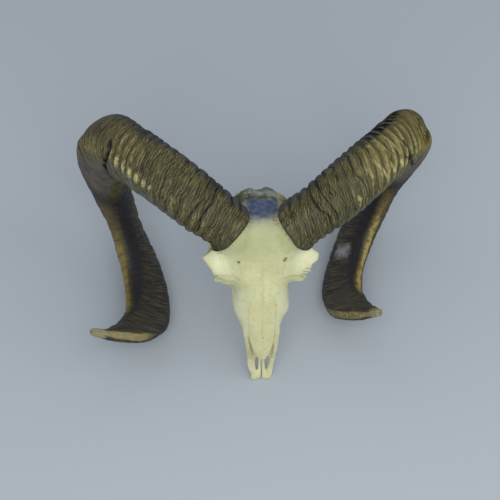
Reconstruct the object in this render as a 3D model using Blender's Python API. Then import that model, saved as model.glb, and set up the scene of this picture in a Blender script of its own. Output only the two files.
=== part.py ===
"""A ram's skull without its lower jaw, with both horn sheaths, lying on the tips of its upper jaw and on the
curls of its horns.

The skull has a frame of its own, the head frame: X is across, positive on the animal's left, Y runs back from
the front of the upper jaw, and Z rises from the biting surface of the cheek teeth. An empty tips that frame
forward until the snout and both horns touch the ground at Z = 0. Lengths are in millimetres of the head frame,
and become metres when a mesh is made.
"""

import math

import bmesh
import bpy
import numpy as np
from mathutils import Matrix, Vector

MM = 0.001

# How the head lies: nose-down pitch, sideways roll, and where the head frame's origin is in the world.
HEAD_PITCH_DEG = 48.67
HEAD_ROLL_DEG = 3.05
HEAD_ORIGIN_MM = (-7.1, -110.5, -3.97)

# Between touching pieces, and between the two front jaw bones, whose split is a little to the left of the middle.
SUTURE_GAP_MM = 0.3
FRONT_GAP_MM = 1.4
FRONT_SPLIT_X = 1.5

VOXEL_MM = 1.5
CORE_SMOOTH_STEPS = 24
SMOOTH_STEPS = 4
SKULL_TRIANGLES = 5300

# The head's body as (distance back, value) curves: the outline of its cross-section, corner by corner.
TOP_HEIGHT = ((27, 42), (40, 53), (56, 62), (76, 75.5), (107, 95), (141, 110), (161, 117), (174, 119.5),
              (184, 117), (196, 105.5), (205, 96))
SHOULDER_HALF_WIDTH = ((27, 8), (52, 12), (70, 15.5), (88, 17.5), (106, 21), (126, 30), (144, 35), (160, 36),
                       (176, 30), (196, 22), (205, 15))
SHOULDER_DROP = ((27, 4), (80, 5), (106, 7), (144, 5), (176, 6), (196, 9), (205, 7))
FLANK_HALF_WIDTH = ((27, 13.5), (47, 17.5), (65, 20.8), (76, 24.8), (85, 29), (96, 30.5), (108, 30), (122, 28),
                    (140, 22), (156, 22), (172, 30), (184, 32), (196, 27), (205, 17))
FLANK_HEIGHT = ((27, 28), (54, 41), (76, 54), (90, 56), (111, 56), (126, 60), (156, 66), (190, 64), (205, 80))
KEEL_HALF_WIDTH = ((27, 11), (51, 14.5), (64, 18.5), (84, 22.5), (111, 26), (131, 25), (143, 15), (156, 12),
                   (176, 13), (196, 18), (205, 11))
KEEL_HEIGHT = ((27, 17), (64, 14), (131, 14), (143, 22), (156, 26), (184, 25), (196, 42), (205, 71))
PALATE_HEIGHT = ((27, 20), (66, 21), (131, 22), (156, 25), (186, 25), (196, 38), (205, 69))
BODY_SPAN = (27.0, 205.0)
BODY_STEP = 4.0

# Nasal bones: half width against distance back, and how thick the plate is.
NASAL_HALF_WIDTH = ((30, 5), (34, 7.8), (43, 10.6), (52, 12.8), (70, 14), (88, 14.5), (101, 10), (110, 1.5))
NASAL_THICKNESS = 3.2

# The hollow of the nose: half width and floor height. Ahead of the palate it has no floor.
NOSE_HALF_WIDTH = ((16, 8.6), (30, 9.6), (47, 12.2), (70, 13), (92, 9))
NOSE_FLOOR = ((16, -8), (48, -8), (56, 24), (92, 30))
NOSE_STEP = 5.0

# Sutures in side view, as (distance back, height).
JAW_OUTLINE = ((-12, -12), (-12, 70), (40, 90), (97, 86), (99, 62), (108, 44), (118, 36), (136, 34), (142, 26),
               (142, -12))
SNOUT_OUTLINE = ((-12, -12), (-12, 70), (58, 90), (74, 60), (66, 46), (36, 22), (30, -12))

# Cheek teeth, front to back: length and width. They stand side by side from TEETH_FROM.
TEETH = ((7, 8), (8, 9), (9, 10.5), (13, 12), (16, 13), (19, 13.5))
TEETH_FROM = 64.0
TEETH_TOP = 17.0
TEETH_OUTER_X = ((64, 20.5), (90, 24.5), (115, 27.5), (136, 27))

ORBIT_CENTRE = (48.5, 141.0, 75.0)
ORBIT_FACING = (0.95, -0.23, -0.2)
ORBIT_RADIUS = 21.5
RIM_HALF_SECTION = (2.6, 4.6)

BONE_COLOUR = (0.62, 0.60, 0.38, 1.0)
TOOTH_BONE_COLOUR = (0.60, 0.57, 0.36, 1.0)
HORN_COLOUR = (0.11, 0.085, 0.045, 1.0)

# Each horn: where its axis leaves the skull, its first heading, and the axes that it curls about at its base and
# at its tip, all as (degrees outwards from straight back, degrees up). Its radius of curl shrinks towards the tip.
HORNS = {
    "left": dict(
        side=1, start=(32.0, 172.2, 92.4), heading=(57.8, 19.1), first_axis=(128.6, -2.2), last_axis=(142.5, 6.8),
        curl_radius=(118.0, 74.2), length=551.0, twist=-27.0, rim_at=8.5,
        width=((0, 55.4), (0.2, 55.7), (0.4, 56.9), (0.6, 38.1), (0.75, 28.6), (0.88, 19.6), (0.96, 14.9), (1, 6)),
        depth=((0, 77.3), (0.2, 74.2), (0.4, 67.6), (0.6, 64), (0.75, 50), (0.88, 48), (0.96, 22.5), (1, 8)),
    ),
    "right": dict(
        side=-1, start=(25.3, 170.3, 92.6), heading=(50.8, 16.1), first_axis=(120.7, -1.6), last_axis=(138.6, 0.7),
        curl_radius=(117.6, 72.3), length=566.0, twist=-25.2, rim_at=8.0,
        width=((0, 55.4), (0.2, 55.7), (0.4, 56.9), (0.6, 38.1), (0.75, 35.2), (0.88, 17.6), (0.96, 14.9), (1, 6)),
        depth=((0, 77.3), (0.2, 74.2), (0.4, 67.6), (0.6, 64), (0.75, 55.1), (0.88, 51.6), (0.96, 22.5), (1, 8)),
    ),
}
AXIS_SWING_POWER = 2.0
HORN_STEPS = 60
HORN_SIDES = 14
SECTIONS_PER_HORN = 36
ROOM_SECTIONS = 6
HORN_LENGTHS = (("base", 0.0, 0.27), ("upper_curl", 0.27, 0.49), ("lower_curl", 0.49, 0.71), ("tip", 0.71, 1.0))
RIM_DIP_MM = 5.0
RIM_DIP_FADE = 0.07
PEDICLE_REACH_MM = 24.0
PEDICLE_SCALE = 0.92


# ---------------------------------------------------------------------------------------------- shapes

def curve_at(points, where):
    """Value of a smooth curve through (position, value) points; it never overshoots them."""
    xs = np.array([p[0] for p in points], float)
    ys = np.array([p[1] for p in points], float)
    where = min(max(where, xs[0]), xs[-1])
    steps = np.diff(xs)
    slopes = np.diff(ys) / steps
    tangents = np.zeros(len(xs))
    tangents[0], tangents[-1] = slopes[0], slopes[-1]
    for i in range(1, len(xs) - 1):
        if slopes[i - 1] * slopes[i] > 0:
            tangents[i] = 2 / (1 / slopes[i - 1] + 1 / slopes[i])
    i = min(int(np.searchsorted(xs, where, side="right")) - 1, len(steps) - 1)
    t = (where - xs[i]) / steps[i]
    start, end = ys[i], ys[i + 1]
    lean_in, lean_out = tangents[i] * steps[i], tangents[i + 1] * steps[i]
    return (
        start * (1 + 2 * t) * (1 - t) ** 2
        + end * t * t * (3 - 2 * t)
        + lean_in * t * (1 - t) ** 2
        + lean_out * t * t * (t - 1)
    )


def smooth_path(points, per_span=4, closed=False):
    """Catmull-Rom samples through points of any dimension."""
    pts = [np.array(p, float) for p in points]
    count = len(pts)
    samples = []
    for i in range(count if closed else count - 1):
        if closed:
            a, b, c, d = (pts[(i + k) % count] for k in (-1, 0, 1, 2))
        else:
            a, b, c, d = (pts[min(max(i + k, 0), count - 1)] for k in (-1, 0, 1, 2))
        for step in range(per_span):
            t = step / per_span
            samples.append(
                0.5 * (2 * b + (c - a) * t + (2 * a - 5 * b + 4 * c - d) * t * t + (3 * b - a - 3 * c + d) * t ** 3)
            )
    if not closed:
        samples.append(pts[-1])
    return samples


def unit(v):
    return v / np.linalg.norm(v)


def rotated(v, axis, angle):
    """v turned about a unit axis."""
    return v * math.cos(angle) + np.cross(axis, v) * math.sin(angle) + axis * axis.dot(v) * (1 - math.cos(angle))


def loft(bm, rings, closed=False):
    """Skin of triangles over rings of equal length, with flat ends unless the rings close on themselves."""
    loops = [[bm.verts.new(Vector(p)) for p in ring] for ring in rings]
    count = len(loops[0])
    faces = []
    for i in range(len(loops) if closed else len(loops) - 1):
        here, there = loops[i], loops[(i + 1) % len(loops)]
        for j in range(count):
            k = (j + 1) % count
            faces.append(bm.faces.new((here[j], here[k], there[k])))
            faces.append(bm.faces.new((here[j], there[k], there[j])))
    if not closed:
        faces.append(bm.faces.new(loops[0]))
        faces.append(bm.faces.new(loops[-1]))
    bmesh.ops.recalc_face_normals(bm, faces=faces)


def ellipsoid(bm, centre, radii, tilt_deg=0.0, detail=3):
    """Ellipsoid, its Y and Z axes tilted about X."""
    place = Matrix.Translation(centre) @ Matrix.Rotation(math.radians(tilt_deg), 4, "X")
    place = place @ Matrix.Diagonal((*radii, 1.0))
    bmesh.ops.create_icosphere(bm, subdivisions=detail, radius=1.0, matrix=place)


def sweep(bm, stations, up=(0, 0, 1), closed=False, per_span=4, sides=14):
    """Rod through stations of (x, y, z, half width, half height); the height is measured along up."""
    samples = smooth_path(stations, per_span, closed)
    count = len(samples)
    rings = []
    for i, sample in enumerate(samples):
        before = samples[(i - 1) % count] if closed else samples[max(i - 1, 0)]
        after = samples[(i + 1) % count] if closed else samples[min(i + 1, count - 1)]
        along = unit(after[:3] - before[:3])
        across = unit(np.cross(along, np.array(up, float)))
        rise = np.cross(across, along)
        ring = []
        for j in range(sides):
            angle = 2 * math.pi * j / sides
            ring.append(sample[:3] + across * sample[3] * math.cos(angle) + rise * sample[4] * math.sin(angle))
        rings.append(ring)
    loft(bm, rings, closed)


def prism(bm, outline, x_from, x_to):
    """Side-view outline of (y, z) points, pushed through from one x to another."""
    loft(bm, [[(x, y, z) for y, z in outline] for x in (x_from, x_to)])


def grown(outline, distance):
    """Outline moved outwards by a distance; its points run either way round."""
    pts = np.array(outline, float)
    nxt = np.roll(pts, -1, axis=0)
    area = float(np.sum(pts[:, 0] * nxt[:, 1] - nxt[:, 0] * pts[:, 1]))
    edges = nxt - pts
    normals = np.stack([edges[:, 1], -edges[:, 0]], 1) * (1 if area > 0 else -1)
    normals /= np.linalg.norm(normals, axis=1)[:, None]
    before = np.roll(normals, 1, axis=0)
    corner = (normals + before) / (1 + np.sum(normals * before, axis=1))[:, None]
    return pts + corner * distance


def mirror_copy(bm):
    """Second copy of everything so far, on the other side of the head."""
    geometry = bm.verts[:] + bm.edges[:] + bm.faces[:]
    copied = bmesh.ops.duplicate(bm, geom=geometry)["geom"]
    verts = [item for item in copied if isinstance(item, bmesh.types.BMVert)]
    faces = [item for item in copied if isinstance(item, bmesh.types.BMFace)]
    bmesh.ops.scale(bm, vec=(-1, 1, 1), verts=verts)
    bmesh.ops.reverse_faces(bm, faces=faces)


# ---------------------------------------------------------------------------------------------- objects

def new_object(name, bm):
    """Object from a bmesh in millimetres, which is freed."""
    bmesh.ops.scale(bm, vec=(MM, MM, MM), verts=bm.verts[:])
    mesh = bpy.data.meshes.new(name)
    bm.to_mesh(mesh)
    bm.free()
    obj = bpy.data.objects.new(name, mesh)
    bpy.context.scene.collection.objects.link(obj)
    return obj


def bake(obj):
    """Replace an object's mesh by what its modifiers make of it."""
    graph = bpy.context.evaluated_depsgraph_get()
    graph.update()
    mesh = bpy.data.meshes.new_from_object(obj.evaluated_get(graph))
    obj.modifiers.clear()
    obj.data = mesh


def remesh(obj, voxel_mm):
    step = obj.modifiers.new("one skin", "REMESH")
    step.mode = "VOXEL"
    step.voxel_size = voxel_mm * MM
    bake(obj)


def smooth(obj, steps):
    step = obj.modifiers.new("soften", "SMOOTH")
    step.factor = 0.5
    step.iterations = steps
    bake(obj)


def boolean(obj, tool, operation):
    step = obj.modifiers.new(operation.lower(), "BOOLEAN")
    step.operation = operation
    step.solver = "EXACT"
    step.object = tool
    bake(obj)


def discard(*objects):
    for obj in objects:
        bpy.data.objects.remove(obj, do_unlink=True)


def copy_of(obj, name):
    other = bpy.data.objects.new(name, obj.data.copy())
    bpy.context.scene.collection.objects.link(other)
    other.matrix_world = obj.matrix_world
    return other


def keep_largest_body(obj):
    """Drop the crumbs that a cut leaves beside the main body."""
    bm = bmesh.new()
    bm.from_mesh(obj.data)
    bm.verts.ensure_lookup_table()
    seen = set()
    bodies = []
    for seed in bm.verts:
        if seed in seen:
            continue
        seen.add(seed)
        body, front = [], [seed]
        while front:
            vert = front.pop()
            body.append(vert)
            for edge in vert.link_edges:
                other = edge.other_vert(vert)
                if other not in seen:
                    seen.add(other)
                    front.append(other)
        bodies.append(body)
    bodies.sort(key=len)
    for body in bodies[:-1]:
        bmesh.ops.delete(bm, geom=body, context="VERTS")
    bm.to_mesh(obj.data)
    bm.free()


def material(name, colour, roughness):
    mat = bpy.data.materials.new(name)
    mat.use_nodes = True
    shader = mat.node_tree.nodes["Principled BSDF"]
    shader.inputs["Base Color"].default_value = colour
    shader.inputs["Roughness"].default_value = roughness
    shader.inputs["Metallic"].default_value = 0.0
    mat.diffuse_color = colour
    return mat


# ---------------------------------------------------------------------------------------------- horns

def bearing(angles):
    """Unit vector for (degrees outwards from straight back, degrees up)."""
    out, up = (math.radians(a) for a in angles)
    return np.array([math.sin(out) * math.cos(up), math.cos(out) * math.cos(up), math.sin(up)])


def turned_between(first, last, share):
    """Unit vector part of the way from one direction to another."""
    angle = math.acos(max(-1.0, min(1.0, float(first.dot(last)))))
    if angle < 1e-6:
        return first
    return (math.sin((1 - share) * angle) * first + math.sin(share * angle) * last) / math.sin(angle)


def horn_frames(horn):
    """Sections along a horn as (centre, outwards of the curl, along the curl's axis, half depth, half width)."""
    point = np.array(horn["start"], float)
    heading = bearing(horn["heading"])
    first_axis, last_axis = bearing(horn["first_axis"]), bearing(horn["last_axis"])
    step = horn["length"] / HORN_STEPS
    frames = []
    for i in range(HORN_STEPS + 1):
        share = i / HORN_STEPS
        axis = turned_between(first_axis, last_axis, share ** AXIS_SWING_POWER)
        outwards = unit(np.cross(axis, heading))
        sideways = np.cross(heading, outwards)
        twist = math.radians(horn["twist"]) * share
        outwards = rotated(outwards, heading, twist)
        sideways = rotated(sideways, heading, twist)
        half_depth = curve_at(horn["depth"], share) / 2
        half_width = curve_at(horn["width"], share) / 2
        frames.append((point.copy(), outwards, sideways, half_depth, half_width, heading.copy()))
        radius = horn["curl_radius"][0] + (horn["curl_radius"][1] - horn["curl_radius"][0]) * share
        point = point + heading * step / 2
        heading = unit(rotated(heading, axis, -step / radius))
        point = point + heading * step / 2
    return frames


def frame_at(frames, share):
    """Section between the computed ones."""
    place = min(max(share, 0.0), 1.0) * (len(frames) - 1)
    i = min(int(place), len(frames) - 2)
    t = place - i
    centre, outwards, sideways, depth, width, heading = (
        frames[i][k] * (1 - t) + frames[i + 1][k] * t for k in range(6)
    )
    return centre, unit(outwards), unit(sideways), depth, width, unit(heading)


def horn_ring(section, side, scale=1.0, grow=0.0, sides=HORN_SIDES, dip=0.0):
    """Egg-shaped outline of one section, blunter on the outer side of the curl, where it may dip to the head."""
    centre, outwards, sideways, depth, width, heading = section
    ring = []
    for j in range(sides):
        angle = 2 * math.pi * j / sides
        reach = math.cos(angle) * (depth * scale + grow)
        spread = math.sin(angle) * (1 + 0.25 * math.cos(angle)) / 1.03 * (width * scale + grow)
        point = centre + outwards * reach + sideways * spread - heading * dip * math.cos(angle)
        ring.append((point[0] * side, point[1], point[2]))
    return ring


def rim_dip(horn, share):
    """How far the sections slope: the sheath's lower rim reaches furthest down on the outer side of the curl."""
    past_rim = share - horn["rim_at"] / horn["length"]
    return RIM_DIP_MM * max(0.0, 1.0 - max(0.0, past_rim) / RIM_DIP_FADE)


def length_shares(horn, begin, end):
    """Where the sections of one length of a horn lie, a gap short of the next length."""
    gap = SUTURE_GAP_MM / horn["length"] / 2
    first = horn["rim_at"] / horn["length"] if begin == 0.0 else begin + gap
    last = 1.0 if end == 1.0 else end - gap
    count = round((last - first) * SECTIONS_PER_HORN)
    return [first + (last - first) * i / count for i in range(count + 1)]


def horn_length(name, horn, frames, begin, end):
    """One length of a horn."""
    bm = bmesh.new()
    rings = []
    for share in length_shares(horn, begin, end):
        rings.append(horn_ring(frame_at(frames, share), horn["side"], dip=rim_dip(horn, share)))
    loft(bm, rings)
    return new_object(name, bm)


def pedicle(bm, horn, frames):
    """Stub of bone that a horn's sheath sits on, reaching back into the skull."""
    centre, outwards, sideways, depth, width, heading = frame_at(frames, horn["rim_at"] / horn["length"])
    stations = ((0.6, PEDICLE_SCALE - 0.05), (0.0, PEDICLE_SCALE), (-0.3, 0.88), (-0.65, 0.74), (-1.0, 0.5))
    rings = []
    for along, scale in stations:
        moved = centre + heading * along * PEDICLE_REACH_MM
        section = (moved, outwards, sideways, depth, width, heading)
        rings.append(horn_ring(section, horn["side"], scale, sides=24, dip=RIM_DIP_MM * (1 + along * 0.5)))
    loft(bm, rings)


def sheath_cutter(horn, frames):
    """Room for a sheath's lower end in the skull, a gap wider than the sheath."""
    shares = length_shares(horn, *HORN_LENGTHS[0][1:])[:ROOM_SECTIONS]
    shares.insert(0, shares[0] - SUTURE_GAP_MM / horn["length"])
    bm = bmesh.new()
    rings = []
    for share in shares:
        ring_dip = rim_dip(horn, share)
        rings.append(horn_ring(frame_at(frames, share), horn["side"], grow=SUTURE_GAP_MM, dip=ring_dip))
    loft(bm, rings)
    return new_object("sheath room", bm)


# ---------------------------------------------------------------------------------------------- skull

def body_ring(y):
    """Cross-section of the head's body."""
    top = curve_at(TOP_HEIGHT, y)
    shoulder = curve_at(SHOULDER_HALF_WIDTH, y)
    drop = curve_at(SHOULDER_DROP, y)
    flank = curve_at(FLANK_HALF_WIDTH, y)
    side = ((shoulder, y, top - drop), (flank, y, curve_at(FLANK_HEIGHT, y)),
            (curve_at(KEEL_HALF_WIDTH, y), y, curve_at(KEEL_HEIGHT, y)))
    corners = [(0, y, top), *side, (0, y, curve_at(PALATE_HEIGHT, y))]
    corners += [(-x, along, z) for x, along, z in reversed(side)]
    return smooth_path(corners, per_span=5, closed=True)


def brow_and_cheek(bm):
    """Roof and front wall of one eye socket, and the swelling above the cheek teeth."""
    ellipsoid(bm, (35, 143, 94), (24, 23, 9.5), tilt_deg=4)
    ellipsoid(bm, (50.5, 147.5, 92), (9.8, 13, 6.5), tilt_deg=4)
    ellipsoid(bm, (33, 121, 70), (12, 7.5, 23))
    ellipsoid(bm, (31, 118, 48), (10, 8, 12))
    ellipsoid(bm, (20, 90, 36), (7.5, 17, 11))


def head_body(bm):
    span = BODY_SPAN[1] - BODY_SPAN[0]
    count = round(span / BODY_STEP)
    loft(bm, [body_ring(BODY_SPAN[0] + span * i / count) for i in range(count + 1)])
    # Braincase, the swelling of the crown, the upper hind wall, and the base of the skull.
    ellipsoid(bm, (0, 177, 70), (32.5, 28, 33))
    ellipsoid(bm, (0, 170, 92), (33, 24, 25))
    ellipsoid(bm, (0, 188, 66), (30, 15, 30), tilt_deg=-12)
    ellipsoid(bm, (0, 199, 82), (19, 9, 12), tilt_deg=-20)
    sweep(bm, ((0, 201, 26, 9, 4), (0, 188, 24, 9.5, 5), (0, 168, 26, 7, 5), (0, 150, 30, 5, 6)))


def orbit_axes():
    facing = unit(np.array(ORBIT_FACING))
    level = unit(np.cross(np.array([0.0, 0.0, 1.0]), facing))
    return facing, level, np.cross(facing, level)


def eye_socket(bm):
    """Rim of one eye socket and the cheek bar under it."""
    facing, level, rise = orbit_axes()
    centre = np.array(ORBIT_CENTRE)
    stations = []
    for j in range(16):
        angle = 2 * math.pi * j / 16
        point = centre + (level * math.cos(angle) + rise * math.sin(angle)) * ORBIT_RADIUS
        stations.append((*point, *RIM_HALF_SECTION))
    sweep(bm, stations, up=tuple(facing), closed=True, per_span=3)
    # Cheek bar: from the face below the socket, back to the temple.
    sweep(bm, ((24, 88, 28, 4, 6), (27, 103, 35, 3.5, 7), (33, 115, 43, 3.5, 8), (42, 124, 49, 3.2, 9),
               (46.5, 138, 52, 2.8, 7.5), (48, 153, 54.5, 2.4, 5.5), (46.5, 168, 55, 2.4, 4), (41, 182, 50, 3, 5),
               (34, 189, 45, 4, 5)))
    ellipsoid(bm, (34, 181, 43), (13, 9, 5))


def hind_parts(bm):
    """What is doubled behind and below: the crest, the joint with the neck, and the parts round the ear."""
    sweep(bm, ((0, 209.5, 88, 4.5, 3), (4.5, 208.5, 88, 4.5, 2.6), (10, 211, 87, 5, 3), (20, 204.5, 81, 5, 3),
               (28, 199, 70, 4, 3), (31, 191, 54, 4, 3)), up=(0.3, 0.9, 0.4))
    ellipsoid(bm, (12.5, 200, 36), (8.5, 7.5, 12), tilt_deg=-28)
    ellipsoid(bm, (23, 194, 42), (9, 8, 14))
    sweep(bm, ((25, 195, 40, 3, 6), (26, 198, 22, 2.4, 4.5), (23.5, 197, 6, 1.6, 3)), up=(0, 1, 0))
    ellipsoid(bm, (19, 178, 22), (8, 12, 10))
    sweep(bm, ((25, 183, 34, 5, 5), (36, 187, 41, 4.5, 4.5), (41, 188, 44, 4, 4)))
    # Thin plate beside the hind nostril.
    sweep(bm, ((15, 134, 22, 1.6, 6), (12, 146, 18, 1.4, 10), (11, 158, 21, 1.4, 7), (10, 166, 24, 1.4, 4)))


def cheek_teeth(bm):
    """One side's row of teeth, each a block with a waist between it and the next."""
    front = TEETH_FROM
    for length, width in TEETH:
        back = front + length
        outer = curve_at(TEETH_OUTER_X, (front + back) / 2)
        rings = []
        for z, swell in ((TEETH_TOP, 0.86), (10.0, 0.96), (3.0, 1.0), (0.0, 0.9)):
            half_length, half_width = length / 2 * swell, width / 2 * swell
            centre = (outer - width / 2, (front + back) / 2)
            ring = []
            for j in range(12):
                angle = 2 * math.pi * (j + 0.5) / 12
                blunt = max(abs(math.cos(angle)), abs(math.sin(angle))) ** -0.75
                ring.append((centre[0] + half_width * blunt * math.cos(angle),
                             centre[1] + half_length * blunt * math.sin(angle), z))
            rings.append(ring)
        loft(bm, rings)
        front = back


def front_jaw(bm):
    """One side's bar round the nose opening, and the thin rod beside the middle."""
    sweep(bm, ((7, 3, 6.5, 4.8, 3.6), (9.8, 8, 9, 3.5, 3.8), (11.6, 18, 15, 3.2, 4.4), (12.8, 30, 24, 3.2, 5.4),
               (15, 46, 35, 3.1, 7.5), (17, 58, 44, 3, 9.5), (17.8, 70, 54, 2.6, 7)))
    ellipsoid(bm, (6.4, 4.5, 6), (5.4, 5, 3.6), tilt_deg=20)


def front_rods(bm):
    """The thin rods on either side of the split, and the knobs that join them to the front jaw."""
    sweep(bm, ((2.6, 6, 7.5, 1.9, 1.8), (2.4, 18, 11, 1.6, 1.8), (2.4, 34, 16, 1.7, 2.0), (2.8, 52, 20.5, 2.2, 2.4),
               (3.4, 66, 23, 3, 3)))
    ellipsoid(bm, (4.3, 6.5, 7), (3.4, 6, 2.8), tilt_deg=20)
    mirror_copy(bm)
    bmesh.ops.translate(bm, vec=(FRONT_SPLIT_X, 0, 0), verts=bm.verts[:])


def skull_cutters():
    """Hollows: the nose, both eye sockets, the hind nostril, and the hole for the spinal cord."""
    bm = bmesh.new()
    facing, level, rise = orbit_axes()
    place = Matrix.Translation(Vector(ORBIT_CENTRE) + Vector(facing) * 4)
    turn = Matrix((tuple(facing), tuple(level), tuple(rise))).transposed().to_4x4()
    shape = Matrix.Diagonal((29.0, 19.6, 19.0, 1.0))
    bmesh.ops.create_icosphere(bm, subdivisions=4, radius=1.0, matrix=place @ turn @ shape)
    # Hollow of the cheek in front of the socket.
    ellipsoid(bm, (42, 108, 74), (8.5, 10, 9))
    mirror_copy(bm)
    rings = []
    first, last = NOSE_HALF_WIDTH[0][0], NOSE_HALF_WIDTH[-1][0]
    count = round((last - first) / NOSE_STEP)
    for i in range(count + 1):
        y = first + (last - first) * i / count
        half = curve_at(NOSE_HALF_WIDTH, y)
        floor = curve_at(NOSE_FLOOR, y)
        roof = curve_at(TOP_HEIGHT, y) - NASAL_THICKNESS if y > 26 else 60
        eaves = roof - 5
        corners = ((0, y, roof), (half * 0.75, y, eaves + 3), (half, y, (floor + eaves) / 2), (half * 0.8, y, floor + 1),
                   (0, y, floor), (-half * 0.8, y, floor + 1), (-half, y, (floor + eaves) / 2),
                   (-half * 0.75, y, eaves + 3))
        rings.append(smooth_path(corners, per_span=3, closed=True))
    loft(bm, rings)
    ellipsoid(bm, (0, 142, 14), (9, 17, 13), tilt_deg=-12)
    sweep(bm, ((0, 220, 44, 9.5, 9), (0, 203, 45, 9, 8.5), (0, 184, 50, 8, 8)))
    hollows = new_object("hollows", bm)
    remesh(hollows, VOXEL_MM)
    return hollows


def nose_opening_trim():
    """What lies over the nose opening, on either side of the pointed nasal bones."""
    bm = bmesh.new()
    stations = (26, 30, 34, 43, 51.5)
    rings = []
    for y in stations:
        half = curve_at(NASAL_HALF_WIDTH, y)
        wide = max(half + 0.4, curve_at(NOSE_HALF_WIDTH, y) + 1.2)
        rings.append([(half, y, 30), (half, y, 90), (wide, y, 90), (wide, y, 30)])
    loft(bm, rings)
    mirror_copy(bm)
    return new_object("nose opening", bm)


def flowing_core():
    """The broad forms, run softly into one another before the sharper parts join them."""
    bm = bmesh.new()
    brow_and_cheek(bm)
    mirror_copy(bm)
    head_body(bm)
    for horn in HORNS.values():
        pedicle(bm, horn, horn_frames(horn))
    core = new_object("core", bm)
    remesh(core, VOXEL_MM)
    smooth(core, CORE_SMOOTH_STEPS)
    return core


def add_to(bm, obj):
    """Put an object's mesh, in metres, among shapes in millimetres, and discard the object."""
    obj.data.transform(Matrix.Scale(1 / MM, 4))
    bm.from_mesh(obj.data)
    discard(obj)


def whole_skull():
    """The skull as one skin, before it is parted along its sutures."""
    core = flowing_core()
    bm = bmesh.new()
    eye_socket(bm)
    hind_parts(bm)
    cheek_teeth(bm)
    front_jaw(bm)
    mirror_copy(bm)
    add_to(bm, core)
    skull = new_object("skull", bm)
    remesh(skull, VOXEL_MM)
    for cutter in (skull_cutters(), nose_opening_trim()):
        boolean(skull, cutter, "DIFFERENCE")
        discard(cutter)
    # The hollow of the nose would have cut these away.
    bm = bmesh.new()
    front_rods(bm)
    add_to(bm, skull)
    skull = new_object("skull", bm)
    remesh(skull, VOXEL_MM)
    smooth(skull, SMOOTH_STEPS)
    thin = skull.modifiers.new("fewer faces", "DECIMATE")
    thin.ratio = SKULL_TRIANGLES / sum(len(p.vertices) - 2 for p in skull.data.polygons)
    bake(skull)
    return skull


# ---------------------------------------------------------------------------------------------- sutures

def nasal_region(side, grow):
    """Room of one nasal bone: its outline from above, a plate's thickness deep."""
    bm = bmesh.new()
    first, last = NASAL_HALF_WIDTH[0][0] - 8, NASAL_HALF_WIDTH[-1][0] + grow
    rings = []
    for i in range(19):
        y = first + (last - first) * i / 18
        half = curve_at(NASAL_HALF_WIDTH, y - grow) + grow
        under = curve_at(TOP_HEIGHT, y) - NASAL_THICKNESS - 1.6 - grow - 0.02 * half * half
        inner = SUTURE_GAP_MM / 2 - grow if grow <= 0 else -half
        rings.append([(inner * side, y, under), (inner * side, y, 140), (half * side, y, 140), (half * side, y, under)])
    loft(bm, rings)
    return new_object("nasal room", bm)


def jaw_region(outline, side, inner, grow):
    """Room of one side's jaw bone, from a plane near the middle outwards."""
    bm = bmesh.new()
    prism(bm, grown(outline, grow), inner, side * 80)
    return new_object("jaw room", bm)


def both_sides_region(outline, grow):
    bm = bmesh.new()
    prism(bm, grown(outline, grow), -80, 80)
    return new_object("jaw room", bm)


def part_skull(skull, rooms):
    """Cut the skull along its sutures into its bones."""
    half_gap = SUTURE_GAP_MM / 2
    nasals_out = nasal_region(1, half_gap)
    snout_out = both_sides_region(SNOUT_OUTLINE, half_gap)
    jaw_out = both_sides_region(JAW_OUTLINE, half_gap)
    bones = {}

    cranium = copy_of(skull, "cranium")
    for cutter in (nasals_out, jaw_out, *rooms):
        boolean(cranium, cutter, "DIFFERENCE")
    bones["cranium"] = cranium

    for word, side in (("left", 1), ("right", -1)):
        nasal = copy_of(skull, f"nasal_{word}")
        room = nasal_region(side, -half_gap)
        boolean(nasal, room, "INTERSECT")
        discard(room)
        bones[nasal.name] = nasal

        maxilla = copy_of(skull, f"maxilla_{word}")
        for cutter in (nasals_out, snout_out):
            boolean(maxilla, cutter, "DIFFERENCE")
        room = jaw_region(JAW_OUTLINE, side, side * half_gap, -half_gap)
        boolean(maxilla, room, "INTERSECT")
        discard(room)
        bones[maxilla.name] = maxilla

        premaxilla = copy_of(skull, f"premaxilla_{word}")
        boolean(premaxilla, nasals_out, "DIFFERENCE")
        room = jaw_region(SNOUT_OUTLINE, side, FRONT_SPLIT_X + side * FRONT_GAP_MM / 2, -half_gap)
        boolean(premaxilla, room, "INTERSECT")
        discard(room)
        bones[premaxilla.name] = premaxilla

    discard(nasals_out, snout_out, jaw_out)
    for bone in bones.values():
        keep_largest_body(bone)
    return bones


# ---------------------------------------------------------------------------------------------- assembly

def ground_cutter():
    """Everything below the ground."""
    bm = bmesh.new()
    bmesh.ops.create_cube(bm, size=1.0, matrix=Matrix.Translation((0, 0, -250)) @ Matrix.Diagonal((900, 900, 500, 1)))
    return new_object("below ground", bm)


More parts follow.
